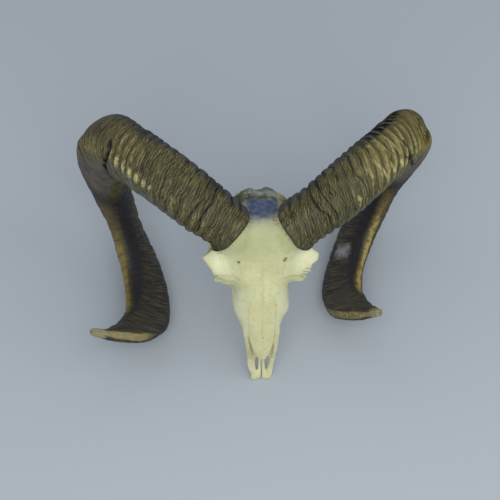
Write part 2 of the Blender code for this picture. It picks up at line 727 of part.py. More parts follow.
def main():
    for obj in list(bpy.data.objects):
        bpy.data.objects.remove(obj, do_unlink=True)

    pose = bpy.data.objects.new("skull_pose", None)
    bpy.context.scene.collection.objects.link(pose)
    pose.location = Vector(HEAD_ORIGIN_MM) * MM
    turn = Matrix.Rotation(math.radians(HEAD_PITCH_DEG), 4, "X") @ Matrix.Rotation(math.radians(HEAD_ROLL_DEG), 4, "Y")
    pose.rotation_euler = turn.to_euler()

    skull = whole_skull()
    pieces = []
    rooms = []
    for word, horn in HORNS.items():
        frames = horn_frames(horn)
        rooms.append(sheath_cutter(horn, frames))
        for label, begin, end in HORN_LENGTHS:
            pieces.append(horn_length(f"horn_{word}_{label}", horn, frames, begin, end))
    bones = part_skull(skull, rooms)
    discard(skull, *rooms)

    bone_material = material("bone", BONE_COLOUR, 0.55)
    jaw_material = material("jaw bone", TOOTH_BONE_COLOUR, 0.55)
    horn_material = material("horn", HORN_COLOUR, 0.45)
    for name, bone in bones.items():
        bone.data.materials.append(jaw_material if name.startswith("maxilla") else bone_material)
    for piece in pieces:
        piece.data.materials.append(horn_material)

    ground = ground_cutter()
    for obj in (*bones.values(), *pieces):
        obj.parent = pose
    bpy.context.view_layer.update()
    for obj in (*bones.values(), *pieces):
        if min((obj.matrix_world @ v.co).z for v in obj.data.vertices) < 0:
            boolean(obj, ground, "DIFFERENCE")
        obj.data.shade_smooth()
    discard(ground)


main()
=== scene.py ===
"""A ram's skull with both horns: finished bones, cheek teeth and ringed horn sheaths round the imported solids.

The skull has a frame of its own, the head frame: X is across, positive on the animal's left, Y runs back from
the front of the upper jaw, and Z rises from the biting surface of the cheek teeth. Shapes are made there in
millimetres, and lay_down() puts a finished mesh where the skull lies, in metres.
"""

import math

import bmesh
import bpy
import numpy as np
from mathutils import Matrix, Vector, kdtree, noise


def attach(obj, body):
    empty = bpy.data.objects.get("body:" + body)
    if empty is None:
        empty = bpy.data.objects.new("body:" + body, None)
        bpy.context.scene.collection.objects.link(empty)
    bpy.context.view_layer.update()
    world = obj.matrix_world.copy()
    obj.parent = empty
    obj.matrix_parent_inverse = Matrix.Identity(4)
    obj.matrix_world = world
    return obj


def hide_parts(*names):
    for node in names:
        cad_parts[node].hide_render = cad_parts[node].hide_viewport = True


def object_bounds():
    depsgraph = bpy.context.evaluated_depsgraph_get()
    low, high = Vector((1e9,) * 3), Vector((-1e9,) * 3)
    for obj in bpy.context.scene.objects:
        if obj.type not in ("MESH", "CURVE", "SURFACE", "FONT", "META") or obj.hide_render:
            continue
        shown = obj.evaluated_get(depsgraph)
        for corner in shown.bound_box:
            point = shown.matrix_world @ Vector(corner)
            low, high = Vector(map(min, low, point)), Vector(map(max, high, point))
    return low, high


bl_info = {
    "name": "Ram Skull with Horns",
    "version": (1, 0, 0),
    "blender": (4, 5, 0),
    "location": "View3D > Sidebar > Ram Skull",
    "description": "Makes the bones, teeth and horn sheaths of a ram's skull, and a plain studio round it",
    "category": "Add Mesh",
}

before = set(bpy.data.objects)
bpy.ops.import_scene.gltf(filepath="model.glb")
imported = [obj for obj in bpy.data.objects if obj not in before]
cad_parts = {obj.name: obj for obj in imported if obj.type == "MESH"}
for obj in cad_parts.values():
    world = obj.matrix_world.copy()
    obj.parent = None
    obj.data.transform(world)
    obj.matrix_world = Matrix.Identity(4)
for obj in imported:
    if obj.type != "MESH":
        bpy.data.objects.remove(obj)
CAD_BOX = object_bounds()

MM = 0.001
SHARP_EDGE_DEG = 58.0
SIDES = (("left", 1), ("right", -1))
QUICK_COARSENING = 1.0

# How the head lies, as in the solids: nose-down pitch, sideways roll, and where the head frame's origin is.
HEAD_PITCH_DEG = 48.67
HEAD_ROLL_DEG = 3.05
HEAD_ORIGIN_MM = (-7.1, -110.5, -3.97)
POSE = (
    Matrix.Translation(Vector(HEAD_ORIGIN_MM) * MM)
    @ Matrix.Rotation(math.radians(HEAD_PITCH_DEG), 4, "X")
    @ Matrix.Rotation(math.radians(HEAD_ROLL_DEG), 4, "Y")
)

# The camera's place relative to the head: its pitch, yaw and roll, the point that it aims at, how far aside of that
# it stands, its distance, and how much width it takes in there.
VIEW_PITCH_DEG = 6.0
VIEW_YAW_DEG = 4.457
VIEW_ROLL_DEG = 3.2
VIEW_CENTRE_MM = (0.0, 149.0, 80.0)
VIEW_SHIFT_MM = 10.1
VIEW_DISTANCE_MM = 1800.0
VIEW_WIDTH_MM = 517.5
SENSOR_WIDTH_MM = 36.0
VIEW_REACH_M = 50.0

# The studio. Lamps are (name, aside, above, distance, size, share of the key light's power); aside and above are
# seen from the camera, and LAMP_FORWARD is how far they lean towards it.
LAMPS = (
    ("key lamp", 0.0, -0.25, 2.4, 1.8, 1.0),
    ("side lamp", 1.2, 0.3, 2.4, 2.0, 0.3),
)
LAMP_FORWARD = 1.5
LAMP_COLOUR = (1.0, 0.985, 0.95)
FILL_COLOUR = (0.93, 0.96, 1.0, 1.0)
FLOOR_HALF_SIZE_MM = 6000.0

# Bone shapes: the gaps along sutures, between the two front jaw bones, whose split is left of the middle, and round
# the ends of the sheaths.
SUTURE_GAP_MM = 0.05
FRONT_GAP_MM = 1.3
FRONT_SPLIT_X = 1.5
SHEATH_GAP_MM = 0.3
# Planes that lie clear of the head, beside and above it.
BESIDE_HEAD = 80.0
ABOVE_HEAD = 140.0

# How finely the broad forms and the whole skull are made one skin, and how much these and the brows are softened.
CORE_VOXEL_MM = 1.5 * QUICK_COARSENING
CORE_SMOOTH_STEPS = 24
SKULL_VOXEL_MM = 0.92 * QUICK_COARSENING
SKULL_SMOOTH_STEPS = 6
BROW_SMOOTH_STEPS = round(220 / QUICK_COARSENING ** 2)
BALL_DETAIL = 4
SWEEP_SIDES = 20

# The head's body as (distance back, value) curves: the outline of its cross-section, corner by corner.
TOP_HEIGHT = ((27, 42), (40, 53), (56, 62), (76, 75.5), (107, 95), (141, 110), (161, 117), (174, 119.5),
              (184, 117), (196, 105.5), (205, 96))
SHOULDER_HALF_WIDTH = ((27, 8), (52, 12), (70, 15.5), (88, 17.5), (106, 21), (126, 30), (144, 35), (160, 36),
                       (176, 30), (196, 22), (205, 15))
SHOULDER_DROP = ((27, 4), (80, 5), (106, 7), (144, 5), (176, 6), (196, 9), (205, 7))
FLANK_HALF_WIDTH = ((27, 13.5), (47, 17.5), (65, 20.8), (76, 24.8), (85, 29), (96, 30.5), (108, 30), (122, 28),
                    (140, 22), (156, 22), (172, 30), (184, 32), (196, 27), (205, 17))
FLANK_HEIGHT = ((27, 28), (54, 41), (76, 54), (90, 56), (111, 56), (126, 60), (156, 66), (190, 64), (205, 80))
KEEL_HALF_WIDTH = ((27, 11), (51, 14.5), (64, 18.5), (84, 22.5), (111, 26), (131, 25), (143, 15), (156, 12),
                   (176, 13), (196, 18), (205, 11))
KEEL_HEIGHT = ((27, 17), (64, 14), (131, 14), (143, 22), (156, 26), (184, 25), (196, 42), (205, 71))
PALATE_HEIGHT = ((27, 20), (66, 21), (131, 22), (156, 25), (186, 25), (196, 38), (205, 69))
BODY_SPAN = (27.0, 205.0)
BODY_STEP = 4.0

# The nasal bones from above, the hollow of the nose under them, and the slits beside their tips.
NASAL_HALF_WIDTH = ((30, 5), (34, 7.8), (43, 10.6), (52, 12.8), (70, 14), (88, 14.5), (101, 10), (110, 1.5))
NASAL_THICKNESS = 3.2
NOSE_HALF_WIDTH = ((16, 8.6), (30, 9.6), (47, 12.2), (70, 13), (92, 9))
NOSE_SLIT_WIDTH = ((26, 0.4), (43, 2.0), (50, 2.2), (60, 1.2))
NOSE_FLOOR = ((16, -8), (48, -8), (56, 24), (92, 30))
NOSE_STEP = 5.0
NASAL_STEPS = 36

# Sutures in side view, as (distance back, height).
JAW_OUTLINE = ((-12, -12), (-12, 70), (40, 90), (97, 86), (99, 62), (108, 44), (118, 36), (136, 34), (142, 26),
               (142, -12))
SNOUT_OUTLINE = ((-12, -12), (-12, 70), (58, 90), (74, 60), (66, 46), (36, 22), (30, -12))

# Cheek teeth, front to back: length, width, and how many lobes each has. The row starts at TEETH_FROM, and its outer
# side goes by the distance back.
TEETH = ((7, 8, 1), (8, 9, 1), (9, 10.5, 1), (13, 12, 2), (16, 13, 2), (19, 13.5, 2))
TEETH_FROM = 64.0
TEETH_TOP = 18.0
TEETH_OUTER_X = ((64, 20.5), (90, 24.5), (115, 27.5), (136, 27))

# The left eye socket: its centre, the way that it faces, its radius, and half the thickness of its rim.
ORBIT_CENTRE = (48.5, 141.0, 75.0)
ORBIT_FACING = (0.95, -0.23, -0.2)
ORBIT_RADIUS = 21.5
RIM_HALF_SECTION = (2.6, 4.6)
ORBIT_SIDES = 16

# Small marks of the bone in the head frame: round holes as (x, y, z, radius, depth), and grooves as
# ((x, y, z) points, half width, depth).
HOLES = (
    (-25.0, 140.0, 109.5, 1.8, 4.0),
    (22.8, 139.4, 109.5, 1.8, 3.8),
    (24.0, 141.6, 110.0, 1.4, 2.6),
    (0.9, 53.8, 60.8, 0.8, 1.0),
    (2.5, 40.8, 52.9, 0.8, 1.0),
    (8.0, 37.5, 49.0, 0.9, 1.2),
    (24.5, 84.0, 44.0, 2.2, 4.5),
    (-24.5, 84.0, 44.0, 2.2, 4.5),
)
GROOVES = (
    (((-25, 139, 109), (-23.5, 134.5, 107), (-22.5, 129, 104.5), (-21, 121, 101)), 1.4, 0.3),
    (((22.8, 138, 108.8), (22.0, 133, 106.3), (20.5, 126, 103.5), (20, 119, 100)), 1.4, 0.3),
    (((-42.5, 126, 98.5), (-37, 124.5, 98.8), (-30, 124.3, 99), (-25, 121, 98)), 2.4, 0.6),
    (((24, 119, 97.5), (30, 120.5, 96.5), (37.5, 120.5, 93.5), (42, 122, 92)), 2.2, 0.7),
)
# Short notches across the front rim of each eye socket, as pairs of ends seen from above.
RIM_NOTCHES = (
    ((39.5, 120.3), (45.3, 117.4)),
    ((41.2, 123.0), (48.5, 120.8)),
    ((42.4, 126.2), (50.6, 123.6)),
    ((45.4, 129.2), (52.8, 126.6)),
    ((-45.5, 126.6), (-50.5, 124.6)),
    ((-42.5, 123.2), (-47.0, 120.0)),
)
NOTCH_HALF_WIDTH = 1.0
NOTCH_DEPTH = 0.8
PIT_DEPTH = 1.3

# Where the bone is eased to its true outline, as (place, reach, move).
PULLS = (
    ((60.5, 143.5, 94.0), 4.5, (1.8, 0.5, 0.0)),
    ((-60.0, 147.0, 94.0), 4.5, (-2.0, 0.0, 0.0)),
    ((56.0, 131.0, 92.0), 8.0, (-3.0, 1.0, 0.0)),
    ((-54.5, 132.0, 92.0), 9.0, (3.0, 0.5, 0.0)),
    ((43.0, 117.0, 86.0), 6.5, (0.5, -3.5, 0.0)),
    ((48.5, 119.5, 86.0), 6.5, (-3.2, 0.8, 0.0)),
    ((-47.5, 122.0, 90.0), 7.0, (2.0, 0.5, 0.0)),
    ((-33.0, 108.0, 70.0), 7.0, (1.8, 0.0, 0.0)),
    ((-31.0, 101.0, 38.0), 15.0, (2.7, 0.0, 0.0)),
    ((-20.0, 63.0, 28.0), 14.0, (2.0, 0.0, 0.0)),
    ((-13.0, 8.0, 9.0), 7.0, (2.6, 0.0, 0.0)),
    ((-51.0, 156.0, 85.5), 9.0, (7.5, -2.0, -3.0)),
    ((55.5, 137.0, 95.0), 4.0, (2.8, 0.0, 0.0)),
    ((49.0, 124.0, 90.0), 5.0, (1.8, 0.0, 0.0)),
    ((41.0, 115.0, 82.0), 5.0, (3.0, 0.0, 0.0)),
    ((27.5, 82.0, 56.0), 8.0, (1.8, 0.0, 0.0)),
    ((17.0, 42.0, 34.0), 10.0, (1.2, 0.0, 0.0)),
    ((-13.5, 34.0, 27.0), 20.0, (1.6, 0.0, 0.0)),
)
# The straight hind edge of each brow, as (a point on it, its outward direction, reach), all seen from above.
BROW_EDGES = (
    ((-54.5, 151.2), (-0.583, 0.813), 15.0),
    ((56.8, 146.5), (0.656, 0.753), 13.0),
)
BROW_EDGE_SOFTNESS = 1.5

# Stains: a blue patch behind the forehead, which leans to the right towards its front, grey-green bone with dark
# blotches, as (x, y, z, radius), along the crest behind it, and a spot on the right brow, as (place, reach).
BLUE_CENTRE_X = 4.0
BLUE_HALF_WIDTH = 19.5
BLUE_SKEW = 0.18
BLUE_FROM_Y = 183.5
BLUE_TO_Y = 203.0
CREST_FROM_Y = 201.5
CREST_BLOTCHES = (
    (-8.1, 205.3, 93.5, 5.0),
    (0.0, 204.8, 95.0, 5.0),
    (7.5, 205.2, 93.7, 3.5),
    (13.5, 203.2, 91.5, 4.0),
    (-17.0, 202.0, 91.0, 6.0),
    (-17.5, 206.5, 88.5, 4.0),
)
BROW_STAIN = ((-48.5, 125.6, 90.0), 3.2)

# Each horn. Shares are of its length. Angles round it are 0 degrees on the outer side of the curl, -90 on the upper
# and 90 on the lower side near the head, and 180 on the inner side.
# Path: start is where its axis leaves the skull. heading is its first direction, and first_axis and last_axis are
# what it curls about at its base and at its tip, as (degrees outwards from straight back, degrees up). Its
# curl_radius shrinks towards the tip, which goes on by tip_reach beyond its length.
# Form: width and depth against the share, a twist over the whole length, swellings as (share, angle, spread of
# both, height), and rim_at, how far along the rim is, with rim, how far that reaches down at each angle.
# Rings: ring_pitch, how far apart they are, and face, how bold they are in front, both against the share, evenness,
# how much alike they are, slant, how far they run aslant, and furrows, how dark the painted shade between them is.
# Marks: cracks as (points of (share, angle), half width, depth), with painted shade in them, and knots, which are
# pale beads, partly painted highlights, as (share, angle, length, width, height). cream and gold are stretches with
# pale ring tops, the cream ones partly painted highlights, as (from share, to share, angle, reach, amount).
# upper_edge is how many degrees the painted shade of the upper edge reaches, near the base and near the corner.
# inner_edge is the angle of the curl's gold edge, and how far that turns further on. band is where its brown and
# its gold begin and its gold is full, as cosines, and how pale its very edge is. chalk is the (share, angle) of a
# pale patch, and blade_from and wear are where the worn outer edge starts and how brown it is.
HORNS = {
    "left": dict(
        side=1, start=(32.0, 172.2, 92.4), heading=(57.8, 19.1), first_axis=(128.6, -2.2), last_axis=(142.5, 6.8),
        curl_radius=(118.0, 74.2), length=551.0, twist=-27.0, rim_at=8.5, seed=3.0,
        width=((0, 55.4), (0.2, 55.7), (0.4, 56.9), (0.6, 38.1), (0.75, 28.6), (0.88, 19.6), (0.96, 14.9), (1, 6)),
        depth=((0, 77.3), (0.2, 74.2), (0.4, 67.6), (0.6, 64), (0.75, 50), (0.88, 48), (0.96, 22.5), (1, 8)),
        ring_pitch=((0, 5.5), (0.05, 8), (0.2, 9.5), (0.3, 8), (0.42, 8), (0.6, 13), (0.8, 11), (1, 7)),
        cracks=(
            (((0.077, -75), (0.071, -50), (0.066, -25), (0.0675, 0), (0.07, 14), (0.066, 40)), 0.8, 1.6),
            (((0.086, -70), (0.082, -40), (0.078, -15), (0.081, 8), (0.079, 30)), 0.6, 1.0),
            (((0.234, 10), (0.237, 22), (0.235, 35), (0.238, 53), (0.253, 77), (0.30, 105)), 2.2, 3.2),
            (((0.222, 25), (0.226, 42), (0.237, 62)), 0.7, 1.4),
            (((0.30, 10), (0.305, 30), (0.303, 48)), 0.5, 0.8),
            (((0.150, -52), (0.142, -31), (0.135, -9), (0.137, 18), (0.133, 32)), 0.6, 1.0),
        ),
        chalk=(0.741, 266.0), wear=0.9, inner_edge=(168, 12, 42), tip_reach=5.0,
        rim=((-180, -5), (-130, -3.2), (-90, 2), (-75, 4.2), (-60, 5.2), (-45, 7.2), (-15, 7.7), (0, 8.1), (20, 9.8),
             (40, 8.5), (60, 4.9), (80, 1.5), (100, -1), (140, -3.8), (180, -5)),
        upper_edge=(32, 28), furrows=0.4, blade_from=0.885, band=(0.85, 0.94, 0.985, 0.5),
        knots=((0.119, 28, 2.0, 4.5, 0.7), (0.116, 41, 1.6, 3.0, 0.5), (0.174, 29, 1.5, 7.0, 0.8),
               (0.192, 33, 1.5, 6.0, 0.7), (0.212, 39, 1.5, 6.0, 0.7), (0.183, -22, 1.2, 9.0, 0.5),
               (0.199, -10, 1.2, 11.0, 0.6), (0.215, 0, 1.2, 12.0, 0.6), (0.230, 6, 1.2, 8.0, 0.5),
               (0.153, 9, 1.4, 6.0, 0.4), (0.170, 5, 1.4, 6.0, 0.4)),
        cream=((0.15, 0.25, 0, 26, 0.42), (0.17, 0.3, 40, 12, 0.5)),
        gold=((0.285, 0.42, 48, 30, 0.7), (0.16, 0.33, 5, 40, 0.45)),
        face=((0, 0.4), (0.1, 0.6), (0.15, 1.1), (0.3, 1.1), (0.4, 0.6), (1, 0.6)), evenness=0.6, slant=0.5,
        swellings=((0.34, 32, 0.055, 30, -7.0), (0.978, 200, 0.02, 50, 1.8), (0.25, -48, 0.08, 30, -6.0),
                   (0.03, 75, 0.045, 36, -3.5), (0.872, -12, 0.03, 45, -2.6), (0.945, 200, 0.03, 45, 5.0),
                   (1.005, 0, 0.014, 400, 1.3), (0.06, -88, 0.04, 35, -2.2), (0.318, -60, 0.025, 28, -1.3),
                   (0.39, 40, 0.02, 40, -2.0), (0.56, 104, 0.06, 34, -2.8), (0.73, 142, 0.05, 30, 0.8),
                   (0.86, 178, 0.025, 35, -1.6), (0.915, 30, 0.03, 35, -2.4), (0.95, 55, 0.03, 30, -1.2),
                   (0.985, -120, 0.015, 35, 2.8), (0.012, 45, 0.03, 28, -1.8), (0.37, -3, 0.02, 20, 2.6)),
    ),
    "right": dict(
        side=-1, start=(25.3, 170.3, 92.6), heading=(50.8, 16.1), first_axis=(120.7, -1.6), last_axis=(138.6, 0.7),
        curl_radius=(117.6, 72.3), length=566.0, twist=-25.2, rim_at=8.0, seed=11.0,
        width=((0, 55.4), (0.2, 55.7), (0.4, 56.9), (0.6, 38.1), (0.75, 35.2), (0.88, 17.6), (0.96, 14.9), (1, 6)),
        depth=((0, 77.3), (0.2, 74.2), (0.4, 67.6), (0.6, 64), (0.75, 55.1), (0.88, 51.6), (0.96, 22.5), (1, 8)),
        ring_pitch=((0, 5.5), (0.05, 9), (0.14, 11), (0.2, 8.5), (0.3, 9), (0.42, 8), (0.6, 16), (0.8, 12), (1, 7)),
        cracks=(
            (((0.078, -60), (0.077, -39), (0.070, -15), (0.072, 5), (0.066, 30), (0.065, 46)), 0.8, 1.6),
            (((0.094, -55), (0.089, -30), (0.084, -8), (0.085, 12), (0.081, 35)), 0.6, 1.0),
            (((0.151, -20), (0.150, -10), (0.142, 12), (0.136, 34), (0.131, 52)), 0.6, 1.2),
            (((0.252, 18), (0.250, 28), (0.248, 43), (0.252, 57), (0.267, 77), (0.302, 111), (0.352, 156)), 3.2, 3.6),
            (((0.215, -42), (0.222, -28), (0.224, -12)), 0.6, 1.0),
        ),
        chalk=None, wear=0.25, inner_edge=(132, 27, 48), tip_reach=11.5,
        rim=((-180, -5), (-130, -3.2), (-90, 0.3), (-70, -0.3), (-58, 0), (-45, 2.2), (-30, 2.4), (-12, 1.5),
             (10, 1.5), (25, 2.2), (50, 2.0), (65, 0.8), (90, -0.7), (130, -3.2), (180, -5)),
        upper_edge=(42, 40), furrows=0.75, blade_from=0.905, band=(0.62, 0.8, 0.975, 0.2),
        knots=((0.154, 40, 1.8, 3.5, 0.6), (0.166, 43, 2.2, 5.0, 0.8), (0.180, 45, 3.2, 6.0, 1.0),
               (0.195, 46, 2.6, 6.0, 1.0), (0.210, 47, 2.2, 6.5, 0.9), (0.226, 46, 2.6, 7.0, 0.9),
               (0.241, 40, 1.3, 7.0, 0.5), (0.233, 4, 1.0, 3.5, 0.4), (0.284, 49, 1.0, 6.0, 0.4),
               (0.298, 52, 1.0, 7.0, 0.4), (0.313, 55, 1.0, 7.0, 0.4), (0.329, 58, 1.0, 7.0, 0.4)),
        cream=((0.19, 0.25, 8, 16, 0.25), (0.05, 0.12, 30, 14, 0.25)),
        gold=((0.275, 0.42, 58, 20, 0.5), (0.2, 0.27, 14, 24, 0.15)),
        face=((0, 0.4), (0.13, 0.45), (0.2, 0.5), (0.3, 0.5), (0.4, 0.4), (1, 0.6)), evenness=0.2, slant=0.27,
        swellings=((0.3, -30, 0.05, 34, 2.2), (0.38, 20, 0.03, 24, -3.3), (0.425, 54, 0.03, 24, -2.0),
                   (0.35, 55, 0.04, 25, -1.5), (0.03, 72, 0.035, 36, -3.6), (0.095, -70, 0.045, 30, 1.3),
                   (0.945, 200, 0.03, 45, 2.5), (1.005, 0, 0.014, 400, 1.3), (0.25, -55, 0.06, 26, -2.0),
                   (0.17, 90, 0.05, 30, 2.0), (0.61, 106, 0.05, 30, -2.1), (0.63, -56, 0.05, 30, -3.0),
                   (0.85, 178, 0.035, 35, -3.0), (0.885, 18, 0.03, 40, -4.6), (0.955, -112, 0.02, 35, 2.0),
                   (0.99, 80, 0.02, 40, 1.8), (0.012, 52, 0.025, 30, -3.0), (0.885, -165, 0.02, 30, -1.5)),
    ),
}
HORN_LENGTH_NAMES = ("base", "upper_curl", "lower_curl", "tip")

# How late a horn's axis swings, in how many steps its path is worked out, and its egg-shaped section: how much
# wider it grows towards the outer side, and how wide an egg of half width 1 comes out.
AXIS_SWING_POWER = 2.0
HORN_STEPS = 60
EGG_SKEW = 0.25
EGG_WIDEST = 1.03
# The share over which the rim's unevenness fades, the room for the sheath's end in the skull, whose sections lie
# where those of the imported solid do, and the stub of bone in the sheath.
RIM_FADE = 0.07
BASE_END = 0.27
SECTIONS_PER_HORN = 36
ROOM_SECTIONS = 6
ROOM_SIDES = 72
PEDICLE_REACH_MM = 24.0
PEDICLE_SCALE = 0.85

# The finished horn's mesh: rows along it and points round it, the rows of the hollow in its end as (depth, scale),
# and its rounded lip and tip.
HORN_ROWS = round(880 / QUICK_COARSENING)
HORN_COLUMNS = round(100 / QUICK_COARSENING)
HOLLOW_ROWS = ((6.0, 0.0), (5.0, 0.4), (3.5, 0.8))
LIP_MM = 2.4
LIP_SHARE = 0.08
LIP_ROWS = 6
CAP_MM = 3.0
CAP_ROWS = 7
ROW_CROWDING = 0.25
# Its rings and colours are worked out on a straightened horn, a rod of this half depth and half width, where a
# degree round it is so many millimetres. A knot that stands KNOT_FULL_RISE high is fully pale.
ROD_DEPTH = 34.0
ROD_WIDTH = 26.0
MM_PER_DEGREE = 0.52
KNOT_FULL_RISE = 0.85
RIPPLES_PER_RING = 3.6

# Against the share of the horn's length: how high the rings stand, how much of their slant is left, and how blunt
# the outer edge of the curl is.
RING_RELIEF = ((0, 0.35), (0.04, 0.9), (0.25, 1.0), (0.4, 0.6), (0.6, 0.75), (0.75, 0.45), (0.88, 0.15), (1, 0.1))
RING_SLANT_FADE = ((0, 0.5), (0.1, 0.85), (0.2, 1.0), (0.34, 1.0), (0.46, 0.0), (1, 0.0))
EDGE_POWER = ((0, 0.86), (0.6, 0.9), (0.82, 0.9), (0.9, 0.5), (1, 0.6))


# ---- node wiring

class Wire:
    """A node's output to compute with: each operation puts a Math node behind it."""

    def __init__(self, tree, socket):
        self.tree = tree
        self.socket = socket

    def math(self, operation, *others):
        node = self.tree.nodes.new("ShaderNodeMath")
        node.operation = operation
        for socket, value in zip(node.inputs, (self, *others)):
            feed(self.tree, socket, value)
        return Wire(self.tree, node.outputs[0])

    def __add__(self, other):
        return self.math("ADD", other)

    def __sub__(self, other):
        return self.math("SUBTRACT", other)

    def __mul__(self, other):
        return self.math("MULTIPLY", other)

    def __truediv__(self, other):
        return self.math("DIVIDE", other)

    def power(self, other):
        return self.math("POWER", other)

    def less_from_one(self):
        """One minus this."""
        return (self * -1.0) + 1.0

    def parts(self):
        """X, Y and Z of a vector."""
        node = self.tree.nodes.new("ShaderNodeSeparateXYZ")
        feed(self.tree, node.inputs[0], self)
        return [Wire(self.tree, socket) for socket in node.outputs]

    def vector(self, operation, other):
        node = self.tree.nodes.new("ShaderNodeVectorMath")
        node.operation = operation
        feed(self.tree, node.inputs[0], self)
        scale_slot = node.inputs["Scale"] if operation == "SCALE" else node.inputs[1]
        feed(self.tree, scale_slot, other)
        return Wire(self.tree, node.outputs["Value"] if operation == "LENGTH" else node.outputs[0])


def feed(tree, socket, value):
    """Give an input a wire or a plain value."""
    if isinstance(value, Wire):
        tree.links.new(value.socket, socket)
    else:
        socket.default_value = value


def add_node(tree, kind, settings=(), **inputs):
    """Node with its properties set and its inputs fed by name; gives its first output."""
    node = tree.nodes.new(kind)
    for key, value in dict(settings).items():
        setattr(node, key, value)
    for key, value in inputs.items():
        feed(tree, node.inputs[key.replace("_", " ")], value)
    return Wire(tree, node.outputs[0])


def ramp(value, low, high, out_low=0.0, out_high=1.0):
    """Smooth rise from out_low to out_high while the value goes from low to high."""
    tree = value.tree
    return add_node(tree, "ShaderNodeMapRange", {"interpolation_type": "SMOOTHSTEP"}, Value=value, From_Min=low,
                    From_Max=high, To_Min=out_low, To_Max=out_high)


def vector_of(tree, x, y, z):
    """Vector put together from three numbers or wires."""
    return add_node(tree, "ShaderNodeCombineXYZ", X=x, Y=y, Z=z)


def noise_at(place, size, detail, stretch=(1.0, 1.0, 1.0), shift=0.0):
    """Noise about 0.5 with features of one size, in the place's units, longer where stretch is over 1."""
    tree = place.tree
    scale = tuple(1.0 / (size * s) for s in stretch)
    scaled = place.vector("MULTIPLY", scale).vector("ADD", (shift, shift * 0.7, shift * 1.3))
    return add_node(tree, "ShaderNodeTexNoise", Vector=scaled, Scale=1.0, Detail=detail)


def mixed(share, first, second):
    """Colour between two, by a share."""
    tree = share.tree
    node = tree.nodes.new("ShaderNodeMix")
    node.data_type = "RGBA"
    feed(tree, node.inputs[0], share)
    feed(tree, node.inputs[6], first)
    feed(tree, node.inputs[7], second)
    return Wire(tree, node.outputs[2])


def display(red, green, blue):
    """Colour from its values on a screen, 0 to 255."""
    parts = []
    for level in (red, green, blue):
        v = level / 255
        parts.append(v / 12.92 if v <= 0.04045 else ((v + 0.055) / 1.055) ** 2.4)
    return (*parts, 1.0)


def new_material(name):
    """Material, its node tree and its shader."""
    mat = bpy.data.materials.new(name)
    mat.use_nodes = True
    return mat, mat.node_tree, mat.node_tree.nodes["Principled BSDF"]


def attribute(tree, name, vector=False):
    """What the mesh carries under a name: a number, or a vector."""
    node = tree.nodes.new("ShaderNodeAttribute")
    node.attribute_name = name
    return Wire(tree, node.outputs["Vector" if vector else "Fac"])


def object_place_mm(tree):
    """Object coordinates in millimetres."""
    node = tree.nodes.new("ShaderNodeTexCoord")
    return Wire(tree, node.outputs["Object"]).vector("SCALE", 1 / MM)


def dent(tree, shader, height, distance_mm):
    """Bump the shader by a height whose 1 stands for a distance."""
    node = tree.nodes.new("ShaderNodeBump")
    node.inputs["Strength"].default_value = 1.0
    node.inputs["Distance"].default_value = distance_mm * MM
    feed(tree, node.inputs["Height"], height)
    tree.links.new(node.outputs[0], shader.inputs["Normal"])


# ---- shapes

def curve_at(points, where):
    """Value of a smooth curve through (position, value) points; it never overshoots them."""
    xs, ys = np.array(points, float).T
    where = min(max(where, xs[0]), xs[-1])
    steps = np.diff(xs)
    slopes = np.diff(ys) / steps
    tangents = np.zeros(len(xs))
    tangents[0], tangents[-1] = slopes[0], slopes[-1]
    for i in range(1, len(xs) - 1):
        if slopes[i - 1] * slopes[i] > 0:
            tangents[i] = 2 / (1 / slopes[i - 1] + 1 / slopes[i])
    i = min(int(np.searchsorted(xs, where, side="right")) - 1, len(steps) - 1)
    t = (where - xs[i]) / steps[i]
    start, end = ys[i], ys[i + 1]
    lean_in, lean_out = tangents[i] * steps[i], tangents[i + 1] * steps[i]
    return (
        start * (1 + 2 * t) * (1 - t) ** 2
        + end * t * t * (3 - 2 * t)
        + lean_in * t * (1 - t) ** 2
        + lean_out * t * t * (t - 1)
    )


def catmull_rom(a, b, c, d, t):
    """Part of the way t from b to c, on a curve that comes from a and goes on to d."""
    return 0.5 * (2 * b + (c - a) * t + (2 * a - 5 * b + 4 * c - d) * t * t + (3 * b - a - 3 * c + d) * t ** 3)


def smooth_path(points, per_span, closed):
    """Catmull-Rom samples through points of any dimension."""
    pts = [np.array(p, float) for p in points]
    count = len(pts)
    samples = []
    for i in range(count if closed else count - 1):
        near = [(i + k) % count if closed else min(max(i + k, 0), count - 1) for k in (-1, 0, 1, 2)]
        samples += [catmull_rom(*(pts[k] for k in near), step / per_span) for step in range(per_span)]
    if not closed:
        samples.append(pts[-1])
    return samples


def unit(v):
    """v at a length of 1."""
    return v / np.linalg.norm(v)


def rotated(v, axis, angle):
    """v turned about a unit axis."""
    return v * math.cos(angle) + np.cross(axis, v) * math.sin(angle) + axis * axis.dot(v) * (1 - math.cos(angle))


def eased(value, low, high):
    """Smooth rise of an array from 0 to 1 between two values."""
    t = np.clip((value - low) / (high - low), 0.0, 1.0)
    return t * t * (3 - 2 * t)


def loft(bm, rings, closed=False):
    """Skin of triangles over rings of equal length, with flat ends unless the rings close on themselves."""
    loops = [[bm.verts.new(Vector(p)) for p in ring] for ring in rings]
    count = len(loops[0])
    faces = []
    for i in range(len(loops) if closed else len(loops) - 1):
        here, there = loops[i], loops[(i + 1) % len(loops)]
        for j in range(count):
            k = (j + 1) % count
            faces.append(bm.faces.new((here[j], here[k], there[k])))
            faces.append(bm.faces.new((here[j], there[k], there[j])))
    if not closed:
        faces.append(bm.faces.new(loops[0]))
        faces.append(bm.faces.new(loops[-1]))
    bmesh.ops.recalc_face_normals(bm, faces=faces)


def ellipsoid(bm, centre, radii, tilt_deg=0.0):
    """Ellipsoid, its Y and Z axes tilted about X."""
    place = Matrix.Translation(centre) @ Matrix.Rotation(math.radians(tilt_deg), 4, "X")
    place = place @ Matrix.Diagonal((*radii, 1.0))
    bmesh.ops.create_icosphere(bm, subdivisions=BALL_DETAIL, radius=1.0, matrix=place)


